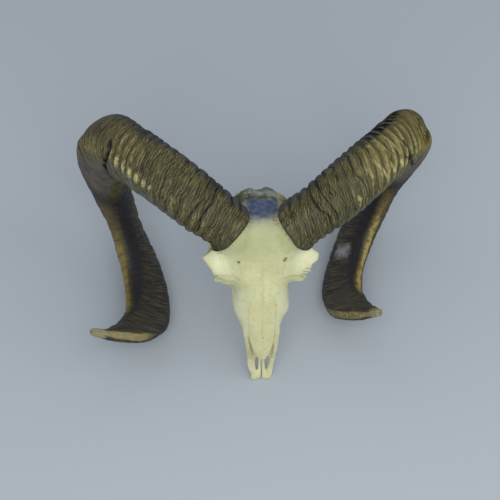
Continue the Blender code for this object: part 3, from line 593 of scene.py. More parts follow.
def sweep(bm, stations, up=(0, 0, 1), closed=False, per_span=8):
    """Rod through stations of (x, y, z, half width, half height); the height is measured along up."""
    samples = smooth_path(stations, per_span, closed)
    count = len(samples)
    rings = []
    for i, sample in enumerate(samples):
        before = samples[(i - 1) % count] if closed else samples[max(i - 1, 0)]
        after = samples[(i + 1) % count] if closed else samples[min(i + 1, count - 1)]
        along = unit(after[:3] - before[:3])
        across = unit(np.cross(along, np.array(up, float)))
        rise = np.cross(across, along)
        ring = []
        for j in range(SWEEP_SIDES):
            angle = 2 * math.pi * j / SWEEP_SIDES
            ring.append(sample[:3] + across * sample[3] * math.cos(angle) + rise * sample[4] * math.sin(angle))
        rings.append(ring)
    loft(bm, rings, closed)


def prism(bm, outline, x_from, x_to):
    """Side-view outline of (y, z) points, pushed through from one x to another."""
    loft(bm, [[(x, y, z) for y, z in outline] for x in (x_from, x_to)])


def grown(outline, distance):
    """Outline moved outwards by a distance; its points run either way round."""
    pts = np.array(outline, float)
    nxt = np.roll(pts, -1, axis=0)
    area = float(np.sum(pts[:, 0] * nxt[:, 1] - nxt[:, 0] * pts[:, 1]))
    edges = nxt - pts
    normals = np.stack([edges[:, 1], -edges[:, 0]], 1) * (1 if area > 0 else -1)
    normals /= np.linalg.norm(normals, axis=1)[:, None]
    before = np.roll(normals, 1, axis=0)
    corner = (normals + before) / (1 + np.sum(normals * before, axis=1))[:, None]
    return pts + corner * distance


def mirror(bm, verts, faces):
    """Turn shapes over to the other side of the head."""
    bmesh.ops.scale(bm, vec=(-1, 1, 1), verts=verts)
    bmesh.ops.reverse_faces(bm, faces=faces)


def mirror_copy(bm):
    """Second copy of everything so far, on the other side of the head."""
    geometry = bm.verts[:] + bm.edges[:] + bm.faces[:]
    copied = bmesh.ops.duplicate(bm, geom=geometry)["geom"]
    verts = [item for item in copied if isinstance(item, bmesh.types.BMVert)]
    faces = [item for item in copied if isinstance(item, bmesh.types.BMFace)]
    mirror(bm, verts, faces)


# ---- objects

def new_object(name, bm):
    """Object from a bmesh in millimetres, which is freed."""
    bmesh.ops.scale(bm, vec=(MM, MM, MM), verts=bm.verts[:])
    mesh = bpy.data.meshes.new(name)
    bm.to_mesh(mesh)
    bm.free()
    obj = bpy.data.objects.new(name, mesh)
    bpy.context.scene.collection.objects.link(obj)
    return obj


def bake(obj):
    """Replace an object's mesh by what its modifiers make of it."""
    graph = bpy.context.evaluated_depsgraph_get()
    graph.update()
    mesh = bpy.data.meshes.new_from_object(obj.evaluated_get(graph))
    obj.modifiers.clear()
    obj.data = mesh


def remesh(obj, voxel_mm):
    """Turn an object's overlapping shapes into one skin."""
    step = obj.modifiers.new("one skin", "REMESH")
    step.mode = "VOXEL"
    step.voxel_size = voxel_mm * MM
    bake(obj)


def smooth(obj, steps, weights=None):
    """Soften a mesh, all over or by a weight for each vertex."""
    step = obj.modifiers.new("soften", "SMOOTH")
    step.factor = 0.5
    step.iterations = steps
    if weights is not None:
        group = obj.vertex_groups.new(name="softness")
        for i in np.nonzero(weights > 0.01)[0]:
            group.add([int(i)], float(weights[i]), "REPLACE")
        step.vertex_group = group.name
    bake(obj)
    obj.vertex_groups.clear()


def boolean(obj, tool, operation):
    """Cut an object by another, or keep what they share, as the operation says."""
    step = obj.modifiers.new(operation.lower(), "BOOLEAN")
    step.operation = operation
    step.solver = "MANIFOLD"
    step.object = tool
    bake(obj)


def discard(*objects):
    """Take objects that have served as tools out of the file."""
    for obj in objects:
        bpy.data.objects.remove(obj, do_unlink=True)


def copy_of(obj, name):
    """Second object with a mesh of its own."""
    other = bpy.data.objects.new(name, obj.data.copy())
    bpy.context.scene.collection.objects.link(other)
    return other


def keep_largest_body(obj):
    """Drop the crumbs that a cut leaves beside the main body."""
    bm = bmesh.new()
    bm.from_mesh(obj.data)
    bm.verts.ensure_lookup_table()
    seen = set()
    bodies = []
    for seed in bm.verts:
        if seed in seen:
            continue
        seen.add(seed)
        body, front = [], [seed]
        while front:
            vert = front.pop()
            body.append(vert)
            for edge in vert.link_edges:
                other = edge.other_vert(vert)
                if other not in seen:
                    seen.add(other)
                    front.append(other)
        bodies.append(body)
    bodies.sort(key=len)
    for body in bodies[:-1]:
        bmesh.ops.delete(bm, geom=body, context="VERTS")
    bm.to_mesh(obj.data)
    bm.free()


def vectors_of(owner, key, count):
    """Array of the vectors that mesh data carries."""
    flat = np.empty(count * 3)
    owner.foreach_get(key, flat)
    return flat.reshape(-1, 3)


def places_of(mesh):
    """Vertex places in millimetres of the head frame, before the mesh is laid down."""
    return vectors_of(mesh.vertices, "co", len(mesh.vertices)) / MM


def move_to(mesh, places_mm):
    """Give a mesh's vertices their places, in millimetres of the head frame."""
    mesh.vertices.foreach_set("co", (places_mm * MM).astype(np.float32).ravel())
    mesh.update()


def store(mesh, name, values):
    """One number for each vertex, which a material reads by name."""
    layer = mesh.attributes.get(name) or mesh.attributes.new(name, "FLOAT", "POINT")
    layer.data.foreach_set("value", np.asarray(values, np.float32))


def bumps(places, size, seed):
    """Noise from about -1 to 1 at each place, with features of one size."""
    shift = Vector((seed, seed * 0.7, seed * 1.3))
    return np.array([noise.noise(Vector(p) + shift) for p in places / size])


def lay_down(obj):
    """Bring a mesh from the head frame to where the skull lies, on the floor and not in it."""
    mesh = obj.data
    mesh.transform(POSE)
    places = vectors_of(mesh.vertices, "co", len(mesh.vertices))
    places[:, 2] = np.maximum(places[:, 2], 0.0)
    mesh.vertices.foreach_set("co", places.ravel())
    mesh.update()
    mesh.shade_smooth()
    mesh.set_sharp_from_angle(angle=math.radians(SHARP_EDGE_DEG))


def hand_over(obj, slot, *nodes):
    """Attach a finished piece to the root, and hide the imported parts that it stands for."""
    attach(obj, "root")
    if nodes:
        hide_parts(*nodes)


# ---- horn's path

def bearing(angles):
    """Unit vector for (degrees outwards from straight back, degrees up)."""
    out, up = (math.radians(a) for a in angles)
    return np.array([math.sin(out) * math.cos(up), math.cos(out) * math.cos(up), math.sin(up)])


def turned_between(first, last, share):
    """Unit vector part of the way from one direction to another."""
    angle = math.acos(max(-1.0, min(1.0, float(first.dot(last)))))
    if angle < 1e-6:
        return first
    return (math.sin((1 - share) * angle) * first + math.sin(share * angle) * last) / math.sin(angle)


def horn_frames(horn):
    """Sections along a horn: centre, outwards of the curl, along its axis, half depth, half width, heading."""
    point = np.array(horn["start"], float)
    heading = bearing(horn["heading"])
    first_axis, last_axis = bearing(horn["first_axis"]), bearing(horn["last_axis"])
    step = horn["length"] / HORN_STEPS
    frames = []
    for i in range(HORN_STEPS + 1):
        share = i / HORN_STEPS
        axis = turned_between(first_axis, last_axis, share ** AXIS_SWING_POWER)
        outwards = unit(np.cross(axis, heading))
        sideways = np.cross(heading, outwards)
        twist = math.radians(horn["twist"]) * share
        outwards = rotated(outwards, heading, twist)
        sideways = rotated(sideways, heading, twist)
        half_depth = curve_at(horn["depth"], share) / 2
        half_width = curve_at(horn["width"], share) / 2
        frames.append((point.copy(), outwards, sideways, half_depth, half_width, heading.copy()))
        radius = horn["curl_radius"][0] + (horn["curl_radius"][1] - horn["curl_radius"][0]) * share
        point = point + heading * step / 2
        heading = unit(rotated(heading, axis, -step / radius))
        point = point + heading * step / 2
    return frames


def frame_at(frames, share):
    """Section between the computed ones, on a smooth path through them."""
    place = min(max(share, 0.0), 1.0) * (len(frames) - 1)
    i = min(int(place), len(frames) - 2)
    t = place - i
    before, here, there, after = (frames[min(max(i + k, 0), len(frames) - 1)] for k in (-1, 0, 1, 2))
    parts = [b * (1 - t) + c * t for b, c in zip(here, there)]
    if 0 < i < len(frames) - 2:
        parts[0] = catmull_rom(before[0], here[0], there[0], after[0], t)
    centre, outwards, sideways, depth, width, heading = parts
    return centre, unit(outwards), unit(sideways), depth, width, unit(heading)


def rim_reach(horn, angle):
    """How far down the sheath's rim reaches at an angle round the horn, in millimetres."""
    return curve_at(horn["rim"], (math.degrees(angle) + 180) % 360 - 180)


def horn_ring(horn, section, sides, slope, scale=1.0, grow=0.0):
    """Egg-shaped outline of one section, widest towards the outer side of the curl.

    slope is how much of the rim's unevenness it has, from 0 to 1.
    """
    centre, outwards, sideways, depth, width, heading = section
    ring = []
    for j in range(sides):
        angle = 2 * math.pi * j / sides
        reach = math.cos(angle) * (depth * scale + grow)
        spread = math.sin(angle) * (1 + EGG_SKEW * math.cos(angle)) / EGG_WIDEST * (width * scale + grow)
        point = centre + outwards * reach + sideways * spread - heading * slope * rim_reach(horn, angle)
        ring.append((point[0] * horn["side"], point[1], point[2]))
    return ring


def rim_slope(horn, share):
    """How much of the rim's unevenness is left in a section, from 1 at the rim to 0 beyond RIM_FADE."""
    past_rim = share - horn["rim_at"] / horn["length"]
    return max(0.0, 1.0 - max(0.0, past_rim) / RIM_FADE)


def pedicle(bm, horn, frames):
    """Stub of bone that a horn's sheath sits on, reaching back into the skull."""
    centre, outwards, sideways, depth, width, heading = frame_at(frames, horn["rim_at"] / horn["length"])
    stations = ((0.6, PEDICLE_SCALE - 0.05), (0.0, PEDICLE_SCALE), (-0.3, 0.84), (-0.65, 0.74), (-1.0, 0.5))
    rings = []
    for along, scale in stations:
        moved = centre + heading * along * PEDICLE_REACH_MM
        section = (moved, outwards, sideways, depth, width, heading)
        rings.append(horn_ring(horn, section, sides=40, slope=1 + along * 0.5, scale=scale))
    loft(bm, rings)


def swelling_at(horn, share, degrees):
    """How far a horn swells beyond its plain outline, at shares of its length and angles round it."""
    rise = np.zeros(np.broadcast(share, degrees).shape)
    for at, turn, reach, spread, height in horn["swellings"]:
        away = (degrees - turn + 180) % 360 - 180
        rise += height * np.exp(-(((share - at) / reach) ** 2) - (away / spread) ** 2)
    return rise


def sheath_room(horn, frames):
    """Room for a sheath's lower end in the skull, a gap wider than the sheath."""
    first = horn["rim_at"] / horn["length"]
    step = (BASE_END - first) / round((BASE_END - first) * SECTIONS_PER_HORN)
    shares = [first - SHEATH_GAP_MM / horn["length"]] + [first + step * i for i in range(ROOM_SECTIONS)]
    degrees = np.arange(ROOM_SIDES) * (360.0 / ROOM_SIDES)
    bm = bmesh.new()
    rings = []
    for share in shares:
        section, slope = frame_at(frames, share), rim_slope(horn, share)
        ring = np.array(horn_ring(horn, section, ROOM_SIDES, slope, grow=SHEATH_GAP_MM))
        outwards = ring - section[0] * (horn["side"], 1, 1)
        outwards /= np.linalg.norm(outwards, axis=1)[:, None]
        rings.append(ring + outwards * swelling_at(horn, share, degrees)[:, None])
    loft(bm, rings)
    return new_object("sheath room", bm)


# ---- skull's shapes

def both_sides(top, side, bottom):
    """Closed outline from its top corner, the corners of one side, and its bottom corner."""
    return [top, *side, bottom, *((-x, y, z) for x, y, z in reversed(side))]


def body_ring(y):
    """Cross-section of the head's body."""
    top = curve_at(TOP_HEIGHT, y)
    shoulder = curve_at(SHOULDER_HALF_WIDTH, y)
    drop = curve_at(SHOULDER_DROP, y)
    flank = curve_at(FLANK_HALF_WIDTH, y)
    side = ((shoulder, y, top - drop), (flank, y, curve_at(FLANK_HEIGHT, y)),
            (curve_at(KEEL_HALF_WIDTH, y), y, curve_at(KEEL_HEIGHT, y)))
    corners = both_sides((0, y, top), side, (0, y, curve_at(PALATE_HEIGHT, y)))
    return smooth_path(corners, per_span=5, closed=True)


def brow_and_cheek(bm):
    """Roof and front wall of one eye socket, and the swelling above the cheek teeth."""
    ellipsoid(bm, (35, 143, 94), (24, 23, 9.5), tilt_deg=4)
    ellipsoid(bm, (50.5, 147.0, 91.5), (10.2, 12.5, 5.8), tilt_deg=4)
    ellipsoid(bm, (33, 121, 70), (12, 7.5, 23))
    ellipsoid(bm, (31, 118, 48), (10, 8, 12))
    ellipsoid(bm, (20, 90, 36), (7.5, 17, 11))


def head_body(bm):
    """The head's body, with the braincase and the base of the skull."""
    span = BODY_SPAN[1] - BODY_SPAN[0]
    count = round(span / BODY_STEP)
    loft(bm, [body_ring(BODY_SPAN[0] + span * i / count) for i in range(count + 1)])
    # Braincase, the swelling of the crown, the upper hind wall, and the base of the skull.
    ellipsoid(bm, (0, 177, 70), (32.5, 28, 33))
    ellipsoid(bm, (0, 170, 92), (33, 24, 25))
    ellipsoid(bm, (0, 188, 66), (30, 15, 30), tilt_deg=-12)
    ellipsoid(bm, (0, 199, 82), (19, 9, 12), tilt_deg=-20)
    sweep(bm, ((0, 201, 26, 9, 4), (0, 188, 24, 9.5, 5), (0, 168, 26, 7, 5), (0, 150, 30, 5, 6)))


def orbit_axes():
    """The way that the left eye socket faces, its level direction and its upward one."""
    facing = unit(np.array(ORBIT_FACING))
    level = unit(np.cross(np.array([0.0, 0.0, 1.0]), facing))
    return facing, level, np.cross(facing, level)


def eye_socket(bm):
    """Rim of one eye socket and the cheek bar under it."""
    facing, level, rise = orbit_axes()
    centre = np.array(ORBIT_CENTRE)
    stations = []
    for j in range(ORBIT_SIDES):
        angle = 2 * math.pi * j / ORBIT_SIDES
        point = centre + (level * math.cos(angle) + rise * math.sin(angle)) * ORBIT_RADIUS
        stations.append((*point, *RIM_HALF_SECTION))
    sweep(bm, stations, up=tuple(facing), closed=True, per_span=4)
    # Cheek bar: from the face below the socket, back to the temple.
    sweep(bm, ((24, 88, 28, 4, 6), (27, 103, 35, 3.5, 7), (33, 115, 43, 3.5, 8), (42, 124, 49, 3.2, 9),
               (46.5, 138, 52, 2.8, 7.5), (48, 153, 54.5, 2.4, 5.5), (46.5, 168, 55, 2.4, 4), (41, 182, 50, 3, 5),
               (34, 189, 45, 4, 5)))
    ellipsoid(bm, (34, 181, 43), (13, 9, 5))


def hind_parts(bm):
    """What is doubled behind and below: the crest, the joint with the neck, and the parts round the ear."""
    sweep(bm, ((0, 209.5, 88, 4.5, 3), (4.5, 208.5, 88, 4.5, 2.6), (10, 211, 87, 5, 3), (20, 204.5, 81, 5, 3),
               (28, 199, 70, 4, 3), (31, 191, 54, 4, 3)), up=(0.3, 0.9, 0.4))
    ellipsoid(bm, (12.5, 200, 36), (8.5, 7.5, 12), tilt_deg=-28)
    ellipsoid(bm, (23, 194, 42), (9, 8, 14))
    sweep(bm, ((25, 195, 40, 3, 6), (26, 198, 22, 2.4, 4.5), (23.5, 197, 6, 1.6, 3)), up=(0, 1, 0))
    ellipsoid(bm, (19, 178, 22), (8, 12, 10))
    sweep(bm, ((25, 183, 34, 5, 5), (36, 187, 41, 4.5, 4.5), (41, 188, 44, 4, 4)))
    # Thin plate beside the hind nostril.
    sweep(bm, ((15, 134, 22, 1.6, 6), (12, 146, 18, 1.4, 10), (11, 158, 21, 1.4, 7), (10, 166, 24, 1.4, 4)))


def tooth_ridge(bm):
    """Edge of one side's upper jaw that the cheek teeth stand in."""
    stations = []
    for y in (62, 72, 90, 110, 128, 138):
        x = curve_at(TEETH_OUTER_X, y) - curve_at(((64, 4), (100, 6), (136, 6.6)), y)
        stations.append((x, y, 17, curve_at(((62, 4.2), (100, 6.6), (138, 6.8)), y), 4.6))
    sweep(bm, stations)


def front_jaw(bm):
    """One side's bar round the nose opening, and the thin rod beside the middle."""
    sweep(bm, ((7, 3, 6.5, 4.8, 3.6), (9.8, 8, 9, 3.5, 3.8), (11.6, 18, 15, 3.2, 4.4), (12.8, 30, 24, 3.2, 5.4),
               (15, 46, 35, 3.1, 7.5), (17, 58, 44, 3, 9.5), (17.8, 70, 54, 2.6, 7)))
    ellipsoid(bm, (6.4, 4.5, 6), (5.4, 5, 3.6), tilt_deg=20)


def front_rods(bm):
    """The thin rods on either side of the split, and the knobs that join them to the front jaw."""
    sweep(bm, ((2.6, 6, 7.5, 1.9, 1.8), (2.4, 18, 11, 1.6, 1.8), (2.4, 34, 16, 1.7, 2.0), (2.8, 52, 20.5, 2.2, 2.4),
               (3.4, 66, 23, 3, 3)))
    ellipsoid(bm, (4.3, 6.5, 7), (3.4, 6, 2.8), tilt_deg=20)
    # Ledge inside the bar, which leaves only a narrow opening beside each rod.
    sweep(bm, ((8.6, 9, 8.5, 2.4, 2.2), (9.8, 18, 13, 2.8, 2.6), (10.2, 27, 20, 3.2, 3.4), (8.8, 34, 29, 5, 3.2),
               (8.4, 46, 41, 6, 3.2), (9, 57, 50, 7.4, 2.4), (9.5, 66, 56.5, 7.2, 2.2)))
    mirror_copy(bm)
    bmesh.ops.translate(bm, vec=(FRONT_SPLIT_X, 0, 0), verts=bm.verts[:])


def skull_cutters():
    """Hollows: the nose, both eye sockets, the hind nostril, and the hole for the spinal cord."""
    bm = bmesh.new()
    facing, level, rise = orbit_axes()
    place = Matrix.Translation(Vector(ORBIT_CENTRE) + Vector(facing) * 4)
    turn = Matrix((tuple(facing), tuple(level), tuple(rise))).transposed().to_4x4()
    shape = Matrix.Diagonal((29.0, 19.6, 19.0, 1.0))
    bmesh.ops.create_icosphere(bm, subdivisions=BALL_DETAIL, radius=1.0, matrix=place @ turn @ shape)
    # Hollow of the cheek in front of the socket.
    ellipsoid(bm, (42, 108, 74), (8.5, 10, 9))
    mirror_copy(bm)
    rings = []
    first, last = NOSE_HALF_WIDTH[0][0], NOSE_HALF_WIDTH[-1][0]
    count = round((last - first) / NOSE_STEP)
    for i in range(count + 1):
        y = first + (last - first) * i / count
        half = curve_at(NOSE_HALF_WIDTH, y)
        floor = curve_at(NOSE_FLOOR, y)
        roof = curve_at(TOP_HEIGHT, y) - NASAL_THICKNESS if y > 26 else 60
        eaves = roof - 5
        side = ((half * 0.75, y, eaves + 3), (half, y, (floor + eaves) / 2), (half * 0.8, y, floor + 1))
        corners = both_sides((0, y, roof), side, (0, y, floor))
        rings.append(smooth_path(corners, per_span=3, closed=True))
    loft(bm, rings)
    ellipsoid(bm, (0, 142, 14), (9, 17, 13), tilt_deg=-12)
    sweep(bm, ((0, 220, 44, 9.5, 9), (0, 203, 45, 9, 8.5), (0, 184, 50, 8, 8)))
    hollows = new_object("hollows", bm)
    remesh(hollows, SKULL_VOXEL_MM)
    return hollows


def nose_opening_trim():
    """What lies over the nose opening, on either side of the pointed nasal bones."""
    bm = bmesh.new()
    rings = []
    for y in (26, 30, 34, 43, 50, 55, 60):
        half = curve_at(NASAL_HALF_WIDTH, y)
        wide = max(half + curve_at(NOSE_SLIT_WIDTH, y), curve_at(NOSE_HALF_WIDTH, y) + 1.2)
        rings.append([(half, y, 30), (half, y, 90), (wide, y, 90), (wide, y, 30)])
    loft(bm, rings)
    mirror_copy(bm)
    return new_object("nose opening", bm)


def flowing_core():
    """The broad forms, run softly into one another before the sharper parts join them."""
    bm = bmesh.new()
    brow_and_cheek(bm)
    mirror_copy(bm)
    head_body(bm)
    for horn in HORNS.values():
        pedicle(bm, horn, horn_frames(horn))
    core = new_object("core", bm)
    remesh(core, CORE_VOXEL_MM)
    smooth(core, CORE_SMOOTH_STEPS)
    return core


def add_to(bm, obj):
    """Put an object's mesh, in metres, among shapes in millimetres, and discard the object."""
    obj.data.transform(Matrix.Scale(1 / MM, 4))
    bm.from_mesh(obj.data)
    discard(obj)


def whole_skull():
    """The skull as one skin, before it is parted along its sutures."""
    core = flowing_core()
    bm = bmesh.new()
    eye_socket(bm)
    hind_parts(bm)
    tooth_ridge(bm)
    front_jaw(bm)
    mirror_copy(bm)
    add_to(bm, core)
    skull = new_object("skull", bm)
    remesh(skull, SKULL_VOXEL_MM)
    for cutter in (skull_cutters(), nose_opening_trim()):
        boolean(skull, cutter, "DIFFERENCE")
        discard(cutter)
    # The hollow of the nose would have cut these away.
    bm = bmesh.new()
    front_rods(bm)
    add_to(bm, skull)
    skull = new_object("skull", bm)
    remesh(skull, SKULL_VOXEL_MM)
    smooth(skull, SKULL_SMOOTH_STEPS)
    x, y, z = np.abs(places_of(skull.data)).T
    brows = eased(x, 16, 28) * eased(x, 54, 47) * eased(y, 116, 126) * eased(y, 168, 156) * eased(z, 82, 92)
    smooth(skull, BROW_SMOOTH_STEPS, brows)
    return skull


# ---- sutures

def nasal_region(side, grow):
    """Room of one nasal bone: its outline from above, a plate's thickness deep."""
    bm = bmesh.new()
    first, last = NASAL_HALF_WIDTH[0][0] - 8, NASAL_HALF_WIDTH[-1][0] + grow
    rings = []
    for i in range(NASAL_STEPS + 1):
        y = first + (last - first) * i / NASAL_STEPS
        half = curve_at(NASAL_HALF_WIDTH, y - grow) + grow
        under = curve_at(TOP_HEIGHT, y) - NASAL_THICKNESS - 1.6 - grow - 0.02 * half * half
        inner = SUTURE_GAP_MM / 2 - grow if grow <= 0 else -half
        corners = ((inner, under), (inner, ABOVE_HEAD), (half, ABOVE_HEAD), (half, under))
        rings.append([(x * side, y, z) for x, z in corners])
    loft(bm, rings)
    return new_object("nasal room", bm)


def jaw_region(outline, inner, outer, grow):
    """Room of a jaw bone, from one plane across the head to another."""
    bm = bmesh.new()
    prism(bm, grown(outline, grow), inner, outer)
    return new_object("jaw room", bm)


def part_skull(skull, rooms):
    """Cut the skull along its sutures into its bones."""
    half_gap = SUTURE_GAP_MM / 2
    nasals_out = nasal_region(1, half_gap)
    snout_out = jaw_region(SNOUT_OUTLINE, -BESIDE_HEAD, BESIDE_HEAD, half_gap)
    jaw_out = jaw_region(JAW_OUTLINE, -BESIDE_HEAD, BESIDE_HEAD, half_gap)
    plans = {"cranium": ((nasals_out, jaw_out, *rooms), None)}
    kept_rooms = []
    for word, side in SIDES:
        nasal = nasal_region(side, -half_gap)
        cheek = jaw_region(JAW_OUTLINE, side * half_gap, side * BESIDE_HEAD, -half_gap)
        snout = jaw_region(SNOUT_OUTLINE, FRONT_SPLIT_X + side * FRONT_GAP_MM / 2, side * BESIDE_HEAD, -half_gap)
        plans[f"nasal_{word}"] = ((), nasal)
        plans[f"maxilla_{word}"] = ((nasals_out, snout_out), cheek)
        plans[f"premaxilla_{word}"] = ((nasals_out,), snout)
        kept_rooms += [nasal, cheek, snout]
    bones = {}
    for name, (cutters, room) in plans.items():
        bone = copy_of(skull, f"{name}_bone")
        for cutter in cutters:
            boolean(bone, cutter, "DIFFERENCE")
        if room:
            boolean(bone, room, "INTERSECT")
        keep_largest_body(bone)
        bones[name] = bone
    discard(nasals_out, snout_out, jaw_out, *kept_rooms)
    return bones


# ---- bone surface

def distance_to_path(places, path):
    """Distance from each place to a polyline."""
    pts = np.array(path, float)
    best = np.full(len(places), 1e9)
    for a, b in zip(pts[:-1], pts[1:]):
        edge = b - a
        t = np.clip(((places - a) @ edge) / edge.dot(edge), 0, 1)
        best = np.minimum(best, np.linalg.norm(places - a - t[:, None] * edge, axis=1))
    return best


def rim_points():
    """Points round both sheath rims."""
    points = []
    for horn in HORNS.values():
        share = horn["rim_at"] / horn["length"]
        points += horn_ring(horn, frame_at(horn_frames(horn), share), sides=90, slope=1.0)
    return points


def distance_to_rims(places):
    """Distance from each place to the nearer sheath's rim."""
    tree = kdtree.KDTree(len(RIM_POINTS))
    for i, point in enumerate(RIM_POINTS):
        tree.insert(point, i)
    tree.balance()
    return np.array([tree.find(Vector(p))[2] for p in places])


def to_true_outline(places):
    """Places eased by the pulls, and behind each brow brought to its straight edge."""
    for centre, reach, move in PULLS:
        near = np.linalg.norm(places - centre, axis=1) / reach
        places = places + np.exp(-near * near)[:, None] * np.array(move)
    for point, outward, reach in BROW_EDGES:
        from_point = places[:, :2] - point
        beyond = np.maximum(from_point @ np.array(outward) + BROW_EDGE_SOFTNESS, 0.0)
        kept = BROW_EDGE_SOFTNESS * (1 - np.exp(-beyond / BROW_EDGE_SOFTNESS))
        share = eased(np.linalg.norm(from_point, axis=1), reach, reach * 0.6) * eased(places[:, 2], 42, 56)
        places[:, :2] += ((kept - beyond) * share)[:, None] * np.array(outward)
    return places


def skull_marks(places, rim, forward):
    """How far the bone's marks move its surface outwards, in millimetres, and how dark their painted shade is."""
    x, y, z = places.T
    offset = np.zeros(len(places))
    # The darkness given to holes, grooves, notches and pits below is painted shade in these hollows.
    painted_shade_and_stains = np.zeros(len(places))
    for hx, hy, hz, radius, depth in HOLES:
        near = np.linalg.norm(places - (hx, hy, hz), axis=1)
        share = eased(near, radius * 1.25, radius * 0.35)
        offset -= depth * share
        painted_shade_and_stains = np.maximum(painted_shade_and_stains, share)
    for path, half_width, depth in GROOVES:
        share = eased(distance_to_path(places, path), half_width * 1.6, 0.0)
        offset -= depth * share
        painted_shade_and_stains = np.maximum(painted_shade_and_stains, share * 0.14)
    for ends in RIM_NOTCHES:
        share = eased(distance_to_path(places[:, :2], ends), NOTCH_HALF_WIDTH, 0.2) * eased(z, 74, 82)
        offset -= NOTCH_DEPTH * share
        painted_shade_and_stains = np.maximum(painted_shade_and_stains, share * 0.4)

    # Pits and low bumps round the sheaths, on the inner sides of the brows, with painted shade in the pits.
    pitted = eased(rim, 10.0, 2.5) * forward * eased(np.abs(x + 4), 45, 38)
    share = pitted * eased(bumps(places, 1.5, 4.0), 0.12, 0.42)
    offset -= PIT_DEPTH * share
    painted_shade_and_stains = np.maximum(painted_shade_and_stains, share)
    offset += bumps(places, 3.4, 9.0) * pitted * 0.6

    # Broad unevenness, and a rougher hind side.
    offset += bumps(places, 26.0, 1.0) * 0.5 + bumps(places, 9.0, 2.0) * 0.16
    hind = eased(y, 186, 200) * eased(z, 40, 70)
    offset += hind * (bumps(places, 5.0, 5.0) * 0.7 + bumps(places, 2.4, 6.0) * 0.3)
    return offset, painted_shade_and_stains


def crown_stains(places, ragged):
    """Shares of the blue patch, the haze before it, the grey-green crest and its dark blotches."""
    x, y, z = places.T
    across = np.abs(x - BLUE_CENTRE_X + BLUE_SKEW * (BLUE_TO_Y - y)) + ragged
    front = BLUE_FROM_Y + 0.02 * across * across
    blue = (eased(y + ragged, front - 6, front + 5) * eased(y + ragged, BLUE_TO_Y + 3, BLUE_TO_Y - 2)
            * eased(across, BLUE_HALF_WIDTH + 3, BLUE_HALF_WIDTH - 7) * eased(z, 70, 80))
    haze = (eased(y + ragged * 1.5, BLUE_FROM_Y - 16, BLUE_FROM_Y) * eased(across, BLUE_HALF_WIDTH + 9, 8)
            * eased(z, 90, 100))
    blotch = np.zeros(len(places))
    for bx, by, bz, radius in CREST_BLOTCHES:
        near = np.linalg.norm((places - (bx, by, bz)) * (0.6, 1, 1), axis=1) + ragged
        blotch = np.maximum(blotch, eased(near, radius, radius * 0.4))
    crest = eased(y + ragged, CREST_FROM_Y - 2, CREST_FROM_Y + 2) * eased(z, 45, 75)
    crest = np.maximum(crest, blotch * eased(x, -13, -16))
    return {"blue": blue, "haze": haze, "crest": crest, "blotch": blotch}


def bone_stains(places, normals, rim, forward, painted_shade_and_stains):
    """Share of each stain of the bone, and of its painted shade and painted light, by the name that its material
    reads.
    """
    x, y, z = places.T
    ragged = bumps(places, 9.0, 20.0) * 2.2 + bumps(places, 4.5, 21.0) * 1.8 + bumps(places, 2.0, 22.0) * 1.0
    # A fine line along the nasal bones, and the spot on the brow.
    seam_x = np.interp(y, *zip(*NASAL_HALF_WIDTH))
    seam = eased(np.abs(np.abs(x) - seam_x), 0.9, 0.1) * eased(y, 40, 48) * eased(y, 104, 96)
    painted_shade_and_stains = np.maximum(painted_shade_and_stains, seam * eased(normals[:, 2], 0.2, 0.5) * 0.16)
    spot_at, spot_reach = BROW_STAIN
    near = (np.linalg.norm(places - spot_at, axis=1) + ragged * 0.5) / spot_reach
    painted_shade_and_stains = np.maximum(painted_shade_and_stains, 0.42 * np.exp(-near ** 2))
    midline = eased(np.abs(x + 0.4) + ragged * 0.4, 2.6, 0.4) * eased(y, 88, 100) * eased(y, 176, 168)
    # A painted highlight on each brow, and painted light where the sides of the snout face sideways, which are partly
    # paler bone as well.
    brow_highlight = np.exp(-((np.abs(x) - 47) / 13) ** 2 - ((y - 142) / 14) ** 2) * eased(z, 86, 95)
    cheek = eased(np.abs(normals[:, 0]), 0.35, 0.85) * eased(y, 118, 104) * 0.8
    roof = np.interp(y, *zip(*TOP_HEIGHT))
    return {
        **crown_stains(places, ragged),
        "painted_shade_and_stains": painted_shade_and_stains,
        "warm": np.maximum(midline * eased(z, 60, 85), eased(rim, 12, 3) * 0.35 * forward),
        # The forehead's darker grey-green is partly the bone's own tone and partly painted shade.
        "forehead_tone_and_shade": eased(y, 108, 160) * eased(np.abs(x), 46, 24) * eased(z, 60, 85),
        "pale_and_painted_light": np.maximum(brow_highlight, cheek),
        "inside": eased(np.abs(x), 14.5, 12.5) * eased(z, roof - 6, roof - 10) * eased(y, 100, 60) * eased(y, 20, 40),
    }


def carve_skull(obj):
    """Ease the outline, cut holes and grooves, pit the bone round the sheaths, and note where stains and painted
    light and shade lie.
    """
    mesh = obj.data
    places = places_of(mesh)
    normals = vectors_of(mesh.vertex_normals, "vector", len(places))
    places = to_true_outline(places)
    rim = distance_to_rims(places)
    forward = eased(normals[:, 1] * -0.5 + normals[:, 2], 0.1, 0.6)
    offset, painted_shade_and_stains = skull_marks(places, rim, forward)
    move_to(mesh, places + normals * offset[:, None])
    for name, values in bone_stains(places, normals, rim, forward, painted_shade_and_stains).items():
        store(mesh, name, values)


